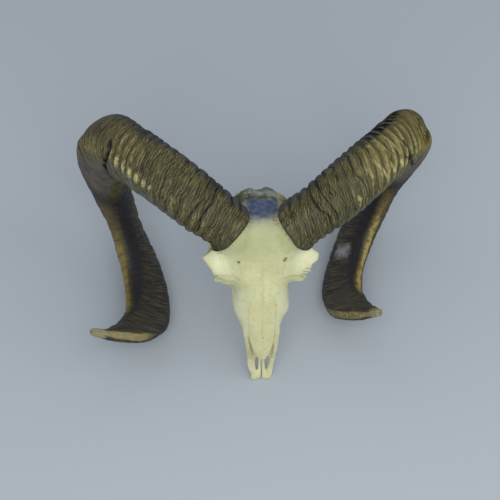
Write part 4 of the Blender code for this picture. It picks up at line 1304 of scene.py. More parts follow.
def bone_material(settings):
    """Dry, cream bone, mottled and finely pored, with the crown's stains, painted shade and painted highlights."""
    mat, tree, shader = new_material("dry bone")
    place = object_place_mm(tree)
    cloud = noise_at(place, 26.0, 3.0)
    mottle = noise_at(place, 7.0, 3.0, shift=3.0)
    grain = noise_at(place, 1.6, 3.0, shift=7.0)
    specks = noise_at(place, 0.9, 1.0, shift=11.0)
    cream = mixed(ramp(cloud, 0.35, 0.65), tuple(settings.bone_colour), display(208, 208, 164))
    cream = mixed(ramp(mottle, 0.5, 0.7) * 0.55, cream, display(196, 184, 128))
    cream = mixed(ramp(mottle, 0.46, 0.3) * 0.45, cream, display(180, 184, 144))
    cream = mixed(ramp(grain, 0.54, 0.75) * 0.32, cream, display(168, 156, 104))
    # Darker grey-green over the forehead, partly the bone's own tone and partly painted shade.
    cream = mixed(attribute(tree, "forehead_tone_and_shade") * ramp(cloud, 0.3, 0.7, 0.63, 0.56), cream, display(152, 158, 116))
    # Paler on the brows and the sides of the snout: painted highlight and painted light, partly paler bone.
    cream = mixed(attribute(tree, "pale_and_painted_light") * ramp(mottle, 0.3, 0.6, 0.85, 0.55), cream, display(226, 228, 196))
    cream = mixed(attribute(tree, "warm") * 0.3, cream, display(184, 168, 108))
    blue = mixed(ramp(noise_at(place, 5.0, 3.0, shift=2.0), 0.36, 0.64), display(74, 88, 116), display(44, 59, 96))
    blue = mixed(ramp(specks, 0.68, 0.76) * 0.7, blue, display(24, 26, 44))
    colour = mixed(attribute(tree, "haze") * 0.5, cream, display(142, 148, 136))
    colour = mixed(attribute(tree, "blue") * 0.96, colour, blue)
    green = mixed(ramp(mottle, 0.42, 0.62), display(78, 88, 94), display(116, 124, 120))
    east = ramp(place.parts()[0], 13.0, 20.0)
    green = mixed(east * 0.75, green, display(176, 170, 124))
    green = mixed(attribute(tree, "blotch") * 0.85, green, display(62, 62, 40))
    colour = mixed(attribute(tree, "crest") * 0.92, colour, green)
    colour = mixed(attribute(tree, "inside") * 0.75, colour, display(200, 187, 130))
    # Painted shade in the holes, grooves, notches and pits, with the own dark of the nasal seam and of the brow's
    # stain.
    colour = mixed(attribute(tree, "painted_shade_and_stains") * 0.9, colour, display(74, 62, 36))
    colour = mixed(ramp(specks, 0.74, 0.8) * 0.35, colour, display(120, 108, 70))
    feed(tree, shader.inputs["Base Color"], colour)
    feed(tree, shader.inputs["Roughness"], ramp(mottle, 0.3, 0.7, 0.5, 0.68))
    shader.inputs["Specular IOR Level"].default_value = 0.35
    pores = ramp(specks, 0.7, 0.8) * -0.8
    dent(tree, shader, grain * 0.6 + noise_at(place, 0.5, 2.0) * 0.35 + pores, 0.35)
    return mat


# ---- teeth

def crown_height(across, along, lobes):
    """Height of a worn crown over its dentine: enamel round the edge, and a crescent in each lobe."""
    edge = np.maximum(np.abs(across), np.abs(along))
    height = 0.9 * eased(edge, 0.62, 0.86) - 0.7 * eased(edge, 0.9, 1.02)
    hollow = 0.0
    for k in range(lobes):
        middle = (2 * k + 1) / lobes - 1
        reach = (along - middle) * lobes
        arc = np.abs(across - 0.12 + 0.42 * reach * reach)
        inside = eased(np.abs(reach), 0.95, 0.7)
        height += (0.9 * eased(arc, 0.34, 0.2) - 2.2 * eased(arc, 0.17, 0.04)) * inside
        hollow = max(hollow, float(eased(arc, 0.2, 0.06) * inside))
    return float(height), hollow


def tooth(bm, layer, outer_x, front, length, width, lobes):
    """One cheek tooth: ribbed sides, a waist between its lobes, and a worn crown facing down."""
    around, rows, crown_rings = 56, 12, 14
    centre_x, centre_y = outer_x - width / 2, front + length / 2
    rings = []
    for i in range(rows + crown_rings):
        ring = []
        for j in range(around):
            angle = 2 * math.pi * j / around
            blunt = max(abs(math.cos(angle)), abs(math.sin(angle))) ** -0.72
            across, along = math.cos(angle) * blunt, math.sin(angle) * blunt
            waist = 0.15 * math.exp(-((along / 0.16) ** 2)) if lobes == 2 else 0.0
            ribs = 0.05 * math.cos(math.pi * along * (3 if lobes == 2 else 2)) if across > 0 else 0.0
            across *= 1 - waist * min(1, abs(across) * 1.2) + ribs
            if i < rows:
                down = i / (rows - 1)
                z = TEETH_TOP * (1 - down) + 1.2 * down
                swell = 0.84 + 0.14 * math.sin(min(1.0, down * 1.15) * math.pi / 2) + 0.02 * math.sin(down * 9)
                hollow = 0.0
            else:
                swell = 0.98 * (1 - (i - rows + 0.6) / crown_rings)
                height, hollow = crown_height(across * swell, along * swell, lobes)
                z = 1.0 - height
            vert = bm.verts.new((centre_x + across * swell * width / 2, centre_y + along * swell * length / 2, z))
            vert[layer] = hollow
            ring.append(vert)
        rings.append(ring)
    faces = []
    for here, there in zip(rings[:-1], rings[1:]):
        for j in range(around):
            k = (j + 1) % around
            faces.append(bm.faces.new((here[j], here[k], there[k], there[j])))
    faces.append(bm.faces.new(rings[0]))
    faces.append(bm.faces.new(rings[-1]))
    bmesh.ops.recalc_face_normals(bm, faces=faces)


def tooth_row(name, side):
    """One side's cheek teeth."""
    bm = bmesh.new()
    layer = bm.verts.layers.float.new("hollow")
    front = TEETH_FROM
    for length, width, lobes in TEETH:
        outer = curve_at(TEETH_OUTER_X, front + length / 2)
        tooth(bm, layer, outer, front + 0.15, length - 0.3, width, lobes)
        front += length
    if side < 0:
        mirror(bm, bm.verts[:], bm.faces[:])
    return new_object(name, bm)


def tooth_material(settings):
    """Worn enamel, stained where the crown is hollow."""
    mat, tree, shader = new_material("worn enamel")
    place = object_place_mm(tree)
    streaks = noise_at(place, 2.4, 3.0)
    colour = mixed(ramp(streaks, 0.35, 0.7), tuple(settings.enamel_colour), display(196, 180, 128))
    colour = mixed(attribute(tree, "hollow") * 0.85, colour, display(60, 44, 26))
    feed(tree, shader.inputs["Base Color"], colour)
    shader.inputs["Roughness"].default_value = 0.32
    dent(tree, shader, streaks + noise_at(place, 0.7, 2.0) * 0.4, 0.15)
    return mat


# ---- horn sheaths

# Pale cream of ring tops and knots, partly their own colour and partly painted highlights.
HORN_CREAM_HIGHLIGHT = display(196, 188, 130)


def horn_rows(horn):
    """(distance along, scale) of each row: a hollow base, a rounded lip, the horn and its rounded tip."""
    rim, last = horn["rim_at"], horn["length"] + horn["tip_reach"] - CAP_MM
    rows = [(rim + deep, scale) for deep, scale in HOLLOW_ROWS]
    for k in range(LIP_ROWS):
        turn = math.pi / 2 * k / LIP_ROWS
        rows.append((rim + LIP_MM * (1 - math.cos(turn)), 1 - LIP_SHARE * (1 - math.sin(turn))))
    body = HORN_ROWS - len(rows) - CAP_ROWS
    for k in range(body):
        # The rows lie closer together on the finely wrinkled first half.
        t = k / (body - 1)
        rows.append((rim + LIP_MM + (last - rim - LIP_MM) * (t * (1 - ROW_CROWDING) + t * t * ROW_CROWDING), 1.0))
    for k in range(1, CAP_ROWS + 1):
        turn = math.pi / 2 * k / CAP_ROWS
        rows.append((last + CAP_MM * math.sin(turn), math.cos(turn) if k < CAP_ROWS else 0.0))
    return rows


def horn_guide(horn):
    """Line of points along a horn's axis that carries what the horn's sections need."""
    frames = horn_frames(horn)
    rows = horn_rows(horn)
    centres, sections = [], []
    mirror = np.array([horn["side"], 1, 1])
    rings, before = 0.0, 0.0
    for along, scale in rows:
        share = along / horn["length"]
        centre, outwards, sideways, depth, width, heading = frame_at(frames, share)
        rings += max(0.0, along - before) / curve_at(horn["ring_pitch"], share)
        before = max(before, along)
        centres.append((centre + heading * max(0.0, along - horn["length"])) * mirror)
        sections.append({
            "outwards": outwards * mirror * depth * scale,
            "sideways": sideways * mirror * width * scale / EGG_WIDEST,
            "dip": heading * mirror * rim_slope(horn, share) * scale,
            "along": along,
            "phase": rings,
            "slant": curve_at(RING_SLANT_FADE, share) * horn["slant"],
            "pitch": curve_at(horn["ring_pitch"], share),
            "relief": curve_at(RING_RELIEF, share) * min(1.0, scale ** 4),
            "face": curve_at(horn["face"], share),
            "edge_power": curve_at(EDGE_POWER, share),
        })
    columns = {key: [section[key] for section in sections] for key in sections[0]}
    # The rim's reach goes by columns, not by rows, and only as many points carry it.
    turns = (2 * math.pi * min(j, HORN_COLUMNS) / HORN_COLUMNS for j in range(len(rows)))
    columns["rim"] = [rim_reach(horn, turn) for turn in turns]
    mesh = bpy.data.meshes.new("horn guide")
    mesh.from_pydata(centres, [(i, i + 1) for i in range(len(centres) - 1)], [])
    for key, values in columns.items():
        is_vector = np.ndim(values) == 2
        layer = mesh.attributes.new(key, "FLOAT_VECTOR" if is_vector else "FLOAT", "POINT")
        layer.data.foreach_set("vector" if is_vector else "value", np.array(values, np.float32).ravel())
    return mesh


def ring_pattern(rod, phase, seed, evenness):
    """Rings, their narrow crests, furrows, wrinkles and fine lines at a place of the straightened horn.

    Both the relief and the colours come from here, so that they agree. phase counts the rings from the rim, and
    evenness says how much alike the rings are, from 0 to 1.
    """
    tree = rod.tree
    depth, width, _ = rod.parts()
    cosine, sine = depth / ROD_DEPTH, width / ROD_WIDTH
    shifted = rod.vector("ADD", vector_of(tree, seed * 31.0, seed * 17.0, seed * 7.0))
    slow = noise_at(shifted, 44.0, 1.0) - 0.5
    quick = noise_at(shifted, 12.0, 2.0, stretch=(1.0, 1.0, 1.6)) - 0.5
    lively = noise_at(shifted, 4.5, 2.0, stretch=(1.0, 1.0, 2.0)) - 0.5
    warp = slow * 1.2 + quick * 0.5 + lively * 0.2
    rings = phase + warp
    split = (rings.math("FRACT") * 2.0 - 1.0).math("ABSOLUTE")
    number = rings.math("FLOOR")
    own = noise_at(vector_of(tree, number * 7.31, cosine * 1.3, sine * 1.3), 1.0, 1.0)
    own = own + evenness * 0.25
    ring = split.power(3.0).less_from_one() * ramp(own, 0.3, 0.7, 0.5, 1.1)
    crest = ramp(split, 0.5, 0.08) * ramp(own, 0.3, 0.6, 0.55, 1.0)
    furrow = ramp(split, 0.66, 1.0) * ramp(own, 0.4, 0.62)

    ripples = (phase + warp * 0.8) * RIPPLES_PER_RING + lively * 1.4
    fine_split = (ripples.math("FRACT") * 2.0 - 1.0).math("ABSOLUTE")
    fine_number = ripples.math("FLOOR")
    fine_own = noise_at(vector_of(tree, fine_number * 5.17, cosine * 2.2, sine * 2.2), 1.0, 1.0)
    wrinkle = fine_split.power(2.0).less_from_one() * ramp(fine_own, 0.3, 0.7, 0.6, 1.05)
    line = ramp(fine_split, 0.35, 0.95) * ramp(fine_own, 0.34, 0.68, 0.25, 1.0)
    return ring, crest, furrow, wrinkle, line, quick


def horn_relief(rod, phase, cosine, sine, face, inlet):
    """Height of rings, wrinkles and swellings on the plain horn, and how bold the rings are."""
    ring, crest, furrow, wrinkle, _, quick = ring_pattern(rod, phase, inlet["Seed"], inlet["Evenness"])
    # The rings stand highest on the upper and lower edges, and the inner side of the curl is the smoothest.
    edges = ramp(sine.math("ABSOLUTE"), 0.45, 0.9)
    bold = (edges * 1.15 + edges.less_from_one() * face) * ramp(cosine, -0.9, 0.1, 0.45, 1.0)
    # Where the rings of the front are boldest they are narrow ridges.
    narrow = ramp(face, 0.65, 1.0)
    shape = ring * narrow.less_from_one() + (crest * 0.9 + 0.25) * narrow
    height = (shape - 0.62) * inlet["Ring Height"] * bold
    height = height + (wrinkle - 0.5) * inlet["Wrinkle Height"] * ramp(quick, -0.2, 0.25, 0.6, 1.25)
    height = height - furrow * 0.5 * bold * narrow.less_from_one()
    swell = noise_at(rod.vector("ADD", vector_of(rod.tree, inlet["Seed"] * 13.0, 5.0, 0.0)), 24.0, 2.0) - 0.5
    return height + swell * inlet["Unevenness"], bold


def horn_tree():
    """Geometry nodes that skin a horn's guide and raise its rings and wrinkles, all in millimetres."""
    tree = bpy.data.node_groups.new("ringed horn", "GeometryNodeTree")
    for label, kind in (("Guide", "Geometry"), ("Rows", "Int"), ("Columns", "Int"), ("Ring Height", "Float"),
                        ("Wrinkle Height", "Float"), ("Unevenness", "Float"), ("Evenness", "Float"),
                        ("Seed", "Float"), ("Finish", "Material")):
        tree.interface.new_socket(label, in_out="INPUT", socket_type=f"NodeSocket{kind}")
    tree.interface.new_socket("Horn", in_out="OUTPUT", socket_type="NodeSocketGeometry")
    given = tree.nodes.new("NodeGroupInput")
    inlet = {socket.name: Wire(tree, socket) for socket in given.outputs if socket.name}

    grid = add_node(tree, "GeometryNodeMeshGrid", Size_X=1.0, Size_Y=1.0, Vertices_X=inlet["Rows"],
                    Vertices_Y=inlet["Columns"])
    across, around, _ = add_node(tree, "GeometryNodeInputPosition").parts()
    row = ((across + 0.5) * (inlet["Rows"] - 1.0)).math("ROUND")
    column = ((around + 0.5) * (inlet["Columns"] - 1.0)).math("ROUND")
    angle = (around + 0.5) * (2 * math.pi)

    def of_guide(name, kind="FLOAT", index=row):
        """What the guide's point of this row carries."""
        if name == "centre":
            value = add_node(tree, "GeometryNodeInputPosition")
        else:
            value = add_node(tree, "GeometryNodeInputNamedAttribute", {"data_type": kind}, Name=name)
        return add_node(tree, "GeometryNodeSampleIndex", {"data_type": kind}, Geometry=inlet["Guide"], Value=value,
                        Index=index)

    def blunted(value, power):
        """Power of a cosine or sine that keeps its sign."""
        return value.math("ABSOLUTE").power(power) * value.math("SIGN")

    cosine, sine = angle.math("COSINE"), angle.math("SINE")
    reach = blunted(cosine, of_guide("edge_power"))
    spread = blunted(sine, 0.9) * (cosine * EGG_SKEW + 1.0)
    centre = of_guide("centre", "FLOAT_VECTOR")
    place = centre.vector("ADD", of_guide("outwards", "FLOAT_VECTOR").vector("SCALE", reach))
    place = place.vector("ADD", of_guide("sideways", "FLOAT_VECTOR").vector("SCALE", spread))
    lowered = of_guide("dip", "FLOAT_VECTOR").vector("SCALE", of_guide("rim", index=column))
    place = place.vector("SUBTRACT", lowered)

    rod = vector_of(tree, cosine * ROD_DEPTH, sine * ROD_WIDTH, of_guide("along"))
    # The rings run aslant: on the lower side they lie nearer to the head.
    slant = sine * ROD_WIDTH * of_guide("slant")
    phase = of_guide("phase") + slant / of_guide("pitch")
    height, bold = horn_relief(rod, phase, cosine, sine, of_guide("face"), inlet)
    outwards = add_node(tree, "ShaderNodeVectorMath", {"operation": "NORMALIZE"},
                        Vector=place.vector("SUBTRACT", centre))
    place = place.vector("ADD", outwards.vector("SCALE", height * of_guide("relief")))

    geometry = grid
    for label, kind, value in (("rod", "FLOAT_VECTOR", rod), ("phase", "FLOAT", phase), ("slant", "FLOAT", slant),
                               ("bold", "FLOAT", bold), ("place", "FLOAT_VECTOR", place)):
        geometry = add_node(tree, "GeometryNodeStoreNamedAttribute", {"data_type": kind, "domain": "POINT"},
                            Geometry=geometry, Name=label, Value=value)
    stored = add_node(tree, "GeometryNodeInputNamedAttribute", {"data_type": "FLOAT_VECTOR"}, Name="place")
    geometry = add_node(tree, "GeometryNodeSetPosition", Geometry=geometry, Position=stored)
    geometry = add_node(tree, "GeometryNodeMergeByDistance", Geometry=geometry, Distance=0.02)
    geometry = add_node(tree, "GeometryNodeRealizeInstances", Geometry=geometry)
    geometry = add_node(tree, "GeometryNodeSetMaterial", Geometry=geometry, Material=inlet["Finish"])
    outlet = tree.nodes.new("NodeGroupOutput")
    feed(tree, outlet.inputs[0], geometry)
    return tree


def set_inputs(modifier, values):
    """Give a modifier's inputs their values, by the identifiers of the sockets with these names."""
    for item in modifier.node_group.interface.items_tree:
        if item.item_type == "SOCKET" and item.in_out == "INPUT" and item.name in values:
            modifier[item.identifier] = values[item.name]


def weather_horn(obj, horn):
    """Raise a horn's swellings and knots, cut its cracks, wear its blade, and note where cracks and knots lie."""
    mesh = obj.data
    places = places_of(mesh)
    rod = vectors_of(mesh.attributes["rod"].data, "vector", len(places))
    normals = vectors_of(mesh.vertex_normals, "vector", len(places))
    length = horn["length"]
    share = rod[:, 2] / length
    degrees = np.degrees(np.arctan2(rod[:, 1] / ROD_WIDTH, rod[:, 0] / ROD_DEPTH))
    offset = swelling_at(horn, share, degrees)
    knot = np.zeros(len(places))
    for at, turn, along_reach, round_reach, rise in horn["knots"]:
        away = ((degrees - turn + 180) % 360 - 180) * MM_PER_DEGREE
        near = np.hypot((rod[:, 2] - at * length) / along_reach, away / round_reach)
        shade = min(rise / KNOT_FULL_RISE, 1.0)
        knot = np.maximum(knot, shade * eased(near + bumps(rod, 2.5, horn["seed"] + 3) * 0.5, 1.3, 0.3))
        offset += rise * np.exp(-near * near)
    wander = bumps(rod, 9.0, horn["seed"]) * 1.5 + bumps(rod, 3.0, horn["seed"] + 5) * 0.5
    crack_shade = np.zeros(len(places))
    for line, half_width, depth in horn["cracks"]:
        shares, turns = np.array(line, float).T
        middle = np.interp(degrees, turns, shares * length)
        taper = eased(degrees, turns[0] - 4, turns[0] + 12) * eased(degrees, turns[-1] + 4, turns[-1] - 12)
        away = np.abs(rod[:, 2] + wander - middle)
        depth_share = eased(away, half_width * (0.5 + taper), half_width * 0.2) * eased(taper, 0.0, 0.25)
        crack_shade = np.maximum(crack_shade, depth_share)
        offset -= depth * depth_share * taper
    # The blunt outer edge of the last length is worn and broken.
    worn = eased(share, 0.85, 0.9) * eased(rod[:, 0] / ROD_DEPTH, 0.75, 0.95)
    offset -= worn * (0.4 + 0.7 * bumps(rod, 5.0, horn["seed"] + 8) + 0.4 * bumps(rod, 2.2, horn["seed"] + 9))
    move_to(mesh, places + normals * offset[:, None])
    # The cracks' share, which the material paints near black as shade in them.
    store(mesh, "crack_shade", crack_shade)
    store(mesh, "knot", knot)


class HornPlace:
    """A place on a horn's surface: where it lies, its rings, and the noises that its colours share."""

    def __init__(self, tree, horn):
        self.tree = tree
        self.bold = attribute(tree, "bold")
        rod = attribute(tree, "rod", vector=True)
        self.depth, self.width, self.along = rod.parts()
        pattern = ring_pattern(rod, attribute(tree, "phase"), horn["seed"], horn["evenness"])
        self.ring, self.crest, self.furrow, _, self.line, _ = pattern
        self.shifted = rod.vector("ADD", (horn["seed"] * 9.0, horn["seed"] * 5.0, 0.0))
        self.wander = noise_at(self.shifted, 9.0, 3.0) - 0.5
        self.share = self.along / horn["length"] + self.wander * 0.02
        aslant = self.shifted.vector("ADD", vector_of(tree, 0.0, 0.0, attribute(tree, "slant")))
        self.streaks = noise_at(aslant, 0.8, 3.0, stretch=(7.0, 7.0, 1.0))
        self.fibres = noise_at(self.shifted, 1.1, 3.0, stretch=(1.0, 1.0, 22.0), shift=5.0)
        self.fine = noise_at(self.shifted, 1.3, 3.0, shift=12.0)

    def facing(self, degrees, reach, soft=12.0):
        """Share from 1 within reach degrees of an angle round the horn to 0 beyond it."""
        turn = math.radians(degrees)
        toward = self.depth * (math.cos(turn) / ROD_DEPTH) + self.width * (math.sin(turn) / ROD_WIDTH)
        outer, inner = math.cos(math.radians(reach + soft)), math.cos(math.radians(max(reach - soft, 0.0)))
        return ramp(toward + self.wander * 0.22, outer, inner)

    def between(self, first, last, soft):
        """Share from 1 between two shares of the horn's length to 0 beyond them."""
        return ramp(self.share, first - soft, first + soft) * ramp(self.share, last + soft, last - soft)


def front_colour(horn, at):
    """Olive-brown, crossed by fine dark lines of painted shade, with painted highlights on the tops of bold rings,
    painted shade along the upper edge and the rim, and painted light along the lower edge.
    """
    blots = noise_at(at.shifted, 15.0, 3.0, shift=8.0)
    patches = noise_at(at.shifted, 5.0, 2.0, shift=15.0)
    colour = mixed(ramp(blots, 0.36, 0.64), display(79, 74, 40), display(95, 90, 52))
    colour = mixed(ramp(at.streaks, 0.49, 0.62) * 0.9, colour, display(40, 36, 21))
    # Pale streaks, and the pale specks further on, are partly the horn's own grain and partly painted highlights.
    colour = mixed(ramp(at.streaks, 0.44, 0.32) * 0.7, colour, display(142, 136, 88))
    # Painted highlights on the tops of bold rings.
    colour = mixed(ramp(at.ring, 0.5, 1.0) * ramp(at.bold, 0.45, 1.1) * 0.4, colour, display(126, 121, 78))
    colour = mixed(ramp(at.share, 0.17, 0.08) * 0.3, colour, display(58, 56, 22))
    # Painted shade in the fine grooves between the wrinkles.
    colour = mixed(at.line * 0.92, colour, display(22, 20, 13))
    colour = mixed(ramp(at.fine, 0.6, 0.76) * 0.45, colour, display(144, 139, 104))
    # Cream ring tops, partly their own colour and partly painted highlights.
    for first, last, degrees, reach, amount in horn["cream"]:
        tops = at.crest * ramp(at.fine + at.streaks * 0.5, 0.45, 0.75) * ramp(patches, 0.4, 0.58, 0.15, 1.0)
        tops = tops * at.between(first, last, 0.012) * at.facing(degrees, reach, 8.0)
        colour = mixed(tops * amount, colour, HORN_CREAM_HIGHLIGHT)
    for first, last, degrees, reach, amount in horn["gold"]:
        tops = (at.crest * 0.7 + 0.3) * at.between(first, last, 0.02) * at.facing(degrees, reach)
        colour = mixed(tops * amount, colour, display(146, 130, 66))
    # Painted shade: bluish black along the upper edge, with a bluish painted reflection in it, and grey-purple and
    # smooth inside the corner. Painted light: grey along the lower edge.
    near_reach, corner_reach = horn["upper_edge"]
    for first, last, degrees, reach in ((-0.1, 0.22, -86, near_reach), (0.19, 0.34, -64, corner_reach)):
        upper_shade = at.facing(degrees, reach, 9.0) * at.between(first, last, 0.03)
        shade_black = mixed(ramp(at.ring, 0.5, 1.0), display(27, 29, 37), display(56, 58, 64))
        colour = mixed(upper_shade * ramp(at.fine, 0.3, 0.7, 0.7, 0.94), colour, shade_black)
    colour = mixed(at.facing(70, 8, 8) * at.between(0.02, 0.24, 0.04) * 0.55, colour, display(94, 97, 95))
    shaded_purple = mixed(ramp(blots, 0.3, 0.7), display(72, 68, 70), display(98, 90, 80))
    colour = mixed(at.facing(118, 40, 16) * at.between(0.25, 0.5, 0.03) * 0.85, colour, shaded_purple)
    # Painted shadow, dark brown, where the sheath's rim meets the bone.
    return mixed(at.between(-0.1, 0.018, 0.006) * 0.75, colour, display(38, 34, 22))


def far_colour(horn, at):
    """Near black, dark brown and streaked on the far side, with gold along the inner edge of the curl."""
    colour = mixed(ramp(at.fibres, 0.4, 0.7), display(21, 18, 18), display(41, 36, 29))
    colour = mixed(at.facing(222, 16, 14) * 0.85, colour, display(20, 20, 26))
    leaning = vector_of(at.tree, at.depth * 0.5, at.width * 0.5, at.along + at.width * 0.9)
    leaning = noise_at(leaning, 2.0, 3.0, stretch=(7.0, 7.0, 1.0))
    colour = mixed(at.facing(286, 36, 16) * ramp(leaning, 0.42, 0.66) * 0.75, colour, display(84, 76, 52))
    colour = mixed(ramp(at.share, 0.86, 0.92) * ramp(leaning, 0.4, 0.7) * 0.6, colour, display(92, 84, 58))
    # The gold is palest at its very edge and broken by dark rings.
    first_turn, then, last = (math.radians(degrees) for degrees in horn["inner_edge"])
    turn = ramp(at.share, 0.5, 0.7) * then + ramp(at.share, 0.73, 0.92) * last + first_turn
    toward = (at.depth / ROD_DEPTH) * turn.math("COSINE") + (at.width / ROD_WIDTH) * turn.math("SINE")
    toward = toward + at.wander * 0.12
    band = at.between(0.53, 0.87, 0.03)
    late = ramp(at.share, 0.58, 0.68, 0.2, 1.0)
    marks = ramp(noise_at(vector_of(at.tree, horn["seed"], 0.0, at.along), 3.4, 3.0), 0.34, 0.52)
    brown_from, gold_from, gold_at, paleness = horn["band"]
    brown_share = ramp(toward, brown_from, 0.95) * band * ramp(marks, 0.0, 1.0, 0.55, 0.9)
    colour = mixed(brown_share, colour, display(74, 62, 30))
    gold = mixed(ramp(at.fibres, 0.3, 0.7), display(132, 116, 56), display(104, 89, 42))
    gold_share = ramp(toward, gold_from, gold_at) * band * late * ramp(marks, 0.0, 1.0, 0.3, 1.0)
    colour = mixed(gold_share, colour, gold)
    return mixed(ramp(toward, 0.986, 0.9995) * band * late * paleness, colour, display(176, 163, 104))


def with_worn_ends(colour, horn, at):
    """The colour with a worn outer edge of the blade, a rough tip and a chalky patch."""
    worn = mixed(ramp(at.fine, 0.35, 0.65), display(148, 139, 96), display(120, 110, 70))
    stains = noise_at(at.shifted, 3.0, 3.0, shift=2.0)
    worn = mixed(ramp(stains, 0.42, 0.62) * horn["wear"], worn, display(72, 62, 40))
    colour = mixed(at.facing(0, 26, 8) * at.between(horn["blade_from"], 1.2, 0.02), colour, worn)
    rough = mixed(ramp(at.fine, 0.3, 0.7), display(100, 97, 72), display(158, 154, 120))
    colour = mixed(ramp(at.share, 0.985, 1.0), colour, rough)
    if horn["chalk"]:
        chalk_share, chalk_turn = horn["chalk"]
        chalk = at.facing(chalk_turn, 15, 11) * at.between(chalk_share - 0.015, chalk_share + 0.015, 0.012)
        chalk = chalk * ramp(at.fine + at.streaks * 0.6, 0.55, 0.85)
        colour = mixed(chalk * 0.75, colour, display(158, 160, 166))
    return colour


def horn_material(word, horn, settings):
    """Ringed horn: olive-brown where it faces forward, near black beyond the curl, with pale knots and edges, and
    painted shade and highlights on its rings, wrinkles and cracks.
    """
    mat, tree, shader = new_material(f"ringed horn {word}")
    at = HornPlace(tree, horn)
    colour = mixed(ramp(at.share, 0.45, 0.52), front_colour(horn, at), far_colour(horn, at))
    colour = with_worn_ends(colour, horn, at)
    # Pale knots, partly their own colour and partly painted highlights.
    colour = mixed(attribute(tree, "knot") * ramp(at.fine, 0.3, 0.6, 0.5, 0.9), colour, HORN_CREAM_HIGHLIGHT)
    near = ramp(at.share, 0.5, 0.44)
    # Painted shade in the furrows between bold rings.
    colour = mixed(at.furrow * at.bold * near * horn["furrows"], colour, display(22, 19, 16))
    # Painted shade, near black, in the cracks.
    colour = mixed(attribute(tree, "crack_shade"), colour, display(7, 7, 9))
    feed(tree, shader.inputs["Base Color"], colour)
    feed(tree, shader.inputs["Roughness"], ramp(at.fine, 0.3, 0.7, 0.45, 0.62))
    shader.inputs["Specular IOR Level"].default_value = settings.horn_gloss
    dent(tree, shader, (at.line * -0.55 + at.streaks * 0.9) * near + at.fibres * 0.2 + at.fine * 0.3, 0.85)
    return mat


# ---- settings

class BoneSettings(bpy.types.PropertyGroup):
    """Sizes and colours of the bones and teeth."""

    bone_colour: bpy.props.FloatVectorProperty(
        name="Bone", description="Main colour of the dry bone", subtype="COLOR", size=4, min=0.0, max=1.0,
        default=display(196, 197, 150))
    enamel_colour: bpy.props.FloatVectorProperty(
        name="Enamel", description="Main colour of the cheek teeth", subtype="COLOR", size=4, min=0.0, max=1.0,
        default=display(224, 216, 178))


class HornSettings(bpy.types.PropertyGroup):
    """Relief and gloss of the horn sheaths."""

    ring_height: bpy.props.FloatProperty(
        name="Ring Height", description="How high the growth rings stand", default=0.0021, min=0.0, max=0.008,
        unit="LENGTH")
    wrinkle_height: bpy.props.FloatProperty(
        name="Wrinkle Height", description="How high the fine wrinkles stand", default=0.00055, min=0.0, max=0.004,
        unit="LENGTH")
    unevenness: bpy.props.FloatProperty(
        name="Unevenness", description="How far broad swellings rise and fall", default=0.0022, min=0.0, max=0.008,
        unit="LENGTH")
    horn_gloss: bpy.props.FloatProperty(
        name="Gloss", description="How strongly the horn reflects", default=0.4, min=0.0, max=1.0, subtype="FACTOR")


class StudioSettings(bpy.types.PropertyGroup):
    """The floor and the lights."""

    floor_colour: bpy.props.FloatVectorProperty(
        name="Floor", description="Colour of the floor", subtype="COLOR", size=4, min=0.0, max=1.0,
        default=display(178, 187, 196))
    key_power: bpy.props.FloatProperty(
        name="Key Light", description="Power of the large lamp beside the camera", default=35.5, min=0.0, max=1000.0,
        unit="POWER")
    fill_strength: bpy.props.FloatProperty(
        name="Fill Light", description="Strength of the even light from all round", default=0.5, min=0.0, max=5.0)


# ---- operators

class RAMSKULL_OT_bones(bpy.types.Operator):
    """Make the cranium, the nasal bones and the bones of the upper jaw"""

    bl_idname = "ram_skull.bones"
    bl_label = "Make Bones"

    def execute(self, context):
        settings = context.scene.ram_bones
        material = bone_material(settings)
        rooms = [sheath_room(horn, horn_frames(horn)) for horn in HORNS.values()]
        skull = whole_skull()
        carve_skull(skull)
        bones = part_skull(skull, rooms)
        discard(skull, *rooms)
        for name, bone in bones.items():
            bone.data.materials.clear()
            bone.data.materials.append(material)
            lay_down(bone)
            hand_over(bone, "jaw_bone" if name.startswith("maxilla") else "bone", name)
        return {"FINISHED"}


class RAMSKULL_OT_teeth(bpy.types.Operator):
    """Make the two rows of cheek teeth"""

    bl_idname = "ram_skull.teeth"
    bl_label = "Make Teeth"

    def execute(self, context):
        material = tooth_material(context.scene.ram_bones)
        for word, side in SIDES:
            row = tooth_row(f"cheek_teeth_{word}", side)
            row.data.materials.append(material)
            lay_down(row)
            hand_over(row, "jaw_bone")
        return {"FINISHED"}


class RAMSKULL_OT_horns(bpy.types.Operator):
    """Make both horn sheaths with their rings, wrinkles and cracks"""

    bl_idname = "ram_skull.horns"
    bl_label = "Make Horns"

    def execute(self, context):
        settings = context.scene.ram_horns
        tree = horn_tree()
        for word, horn in HORNS.items():
            sheath = bpy.data.objects.new(f"horn_sheath_{word}", horn_guide(horn))
            context.scene.collection.objects.link(sheath)
            modifier = sheath.modifiers.new("rings", "NODES")
            modifier.node_group = tree
            set_inputs(modifier, {
                "Rows": HORN_ROWS,
                "Columns": HORN_COLUMNS + 1,
                "Ring Height": settings.ring_height / MM,
                "Wrinkle Height": settings.wrinkle_height / MM,
                "Unevenness": settings.unevenness / MM,
                "Evenness": horn["evenness"],
                "Seed": horn["seed"],
                "Finish": horn_material(word, horn, settings),
            })
            bake(sheath)
            sheath.data.attributes.remove(sheath.data.attributes["place"])
            sheath.data.transform(Matrix.Scale(MM, 4))
            bm = bmesh.new()
            bm.from_mesh(sheath.data)
            bmesh.ops.recalc_face_normals(bm, faces=bm.faces[:])
            bm.to_mesh(sheath.data)
            bm.free()
            weather_horn(sheath, horn)
            lay_down(sheath)
            hand_over(sheath, "horn", *(f"horn_{word}_{part}" for part in HORN_LENGTH_NAMES))
        return {"FINISHED"}


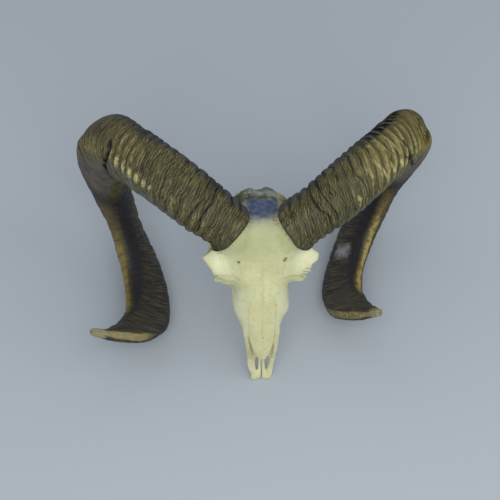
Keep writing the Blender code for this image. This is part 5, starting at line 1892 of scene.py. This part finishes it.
def floor_material(settings):
    """Plain, pale and matt."""
    mat, _, shader = new_material("pale floor")
    shader.inputs["Base Color"].default_value = tuple(settings.floor_colour)
    shader.inputs["Roughness"].default_value = 0.9
    shader.inputs["Specular IOR Level"].default_value = 0.1
    return mat


def view_matrix():
    """The camera's place and turn in the world."""
    tilt = (
        Matrix.Translation((VIEW_SHIFT_MM, 0, 0))
        @ Matrix.Rotation(math.radians(VIEW_ROLL_DEG), 4, "Z")
        @ Matrix.Rotation(math.radians(VIEW_YAW_DEG), 4, "Y")
        @ Matrix.Rotation(math.radians(VIEW_PITCH_DEG), 4, "X")
        @ Matrix.Translation(-Vector(VIEW_CENTRE_MM))
    )
    camera_mm = tilt.inverted() @ Matrix.Translation((0, 0, VIEW_DISTANCE_MM))
    turn = (POSE @ camera_mm).to_quaternion()
    place = POSE @ (camera_mm.translation * MM)
    return Matrix.LocRotScale(place, turn, None)


class RAMSKULL_OT_studio(bpy.types.Operator):
    """Make the floor, the lights and the camera"""

    bl_idname = "ram_skull.studio"
    bl_label = "Make Studio"

    def execute(self, context):
        settings = context.scene.ram_studio
        scene = context.scene
        view = view_matrix()

        bm = bmesh.new()
        bmesh.ops.create_grid(bm, x_segments=1, y_segments=1, size=FLOOR_HALF_SIZE_MM)
        floor = new_object("floor", bm)
        floor.data.materials.append(floor_material(settings))

        camera = bpy.data.cameras.new("photo camera")
        camera.sensor_width = SENSOR_WIDTH_MM
        camera.lens = SENSOR_WIDTH_MM * VIEW_DISTANCE_MM / VIEW_WIDTH_MM
        camera.clip_end = VIEW_REACH_M
        eye = bpy.data.objects.new("photo camera", camera)
        eye.matrix_world = view
        scene.collection.objects.link(eye)
        scene.camera = eye

        centre = (CAD_BOX[0] + CAD_BOX[1]) / 2
        for name, aside, above, distance, size, share in LAMPS:
            lamp = bpy.data.lights.new(name, "AREA")
            lamp.shape = "SQUARE"
            lamp.size = size
            lamp.energy = settings.key_power * share
            lamp.color = LAMP_COLOUR
            lit = bpy.data.objects.new(name, lamp)
            toward = (view.to_3x3() @ Vector((aside, above, LAMP_FORWARD))).normalized()
            lit.location = centre + toward * distance
            lit.rotation_euler = toward.to_track_quat("Z", "Y").to_euler()
            scene.collection.objects.link(lit)

        world = bpy.data.worlds.new("even light")
        world.use_nodes = True
        backdrop = world.node_tree.nodes["Background"]
        backdrop.inputs["Color"].default_value = FILL_COLOUR
        backdrop.inputs["Strength"].default_value = settings.fill_strength
        scene.world = world
        scene.view_settings.view_transform = "Standard"
        return {"FINISHED"}


class RAMSKULL_PT_maker(bpy.types.Panel):
    """The sidebar's list of what can be made"""

    bl_label = "Ram Skull"
    bl_idname = "RAMSKULL_PT_maker"
    bl_space_type = "VIEW_3D"
    bl_region_type = "UI"
    bl_category = "Ram Skull"

    def draw(self, context):
        layout = self.layout
        for group, operators in SECTIONS:
            box = layout.box()
            settings = getattr(context.scene, group)
            for name in settings.__annotations__:
                box.prop(settings, name)
            for operator in operators:
                box.operator(operator.bl_idname)


SECTIONS = (
    ("ram_bones", (RAMSKULL_OT_bones, RAMSKULL_OT_teeth)),
    ("ram_horns", (RAMSKULL_OT_horns,)),
    ("ram_studio", (RAMSKULL_OT_studio,)),
)
SETTINGS = {"ram_bones": BoneSettings, "ram_horns": HornSettings, "ram_studio": StudioSettings}
CLASSES = (*SETTINGS.values(), *(operator for _, group in SECTIONS for operator in group), RAMSKULL_PT_maker)
RIM_POINTS = rim_points()


def register():
    """Add the settings, operators and panel to Blender."""
    for cls in CLASSES:
        bpy.utils.register_class(cls)
    for name, group in SETTINGS.items():
        setattr(bpy.types.Scene, name, bpy.props.PointerProperty(type=group))


def unregister():
    """Take them out again."""
    for name in SETTINGS:
        delattr(bpy.types.Scene, name)
    for cls in reversed(CLASSES):
        bpy.utils.unregister_class(cls)


def main():
    """Make everything."""
    register()
    bpy.ops.ram_skull.bones()
    bpy.ops.ram_skull.teeth()
    bpy.ops.ram_skull.horns()
    bpy.ops.ram_skull.studio()


if __name__ == "__main__":
    main()
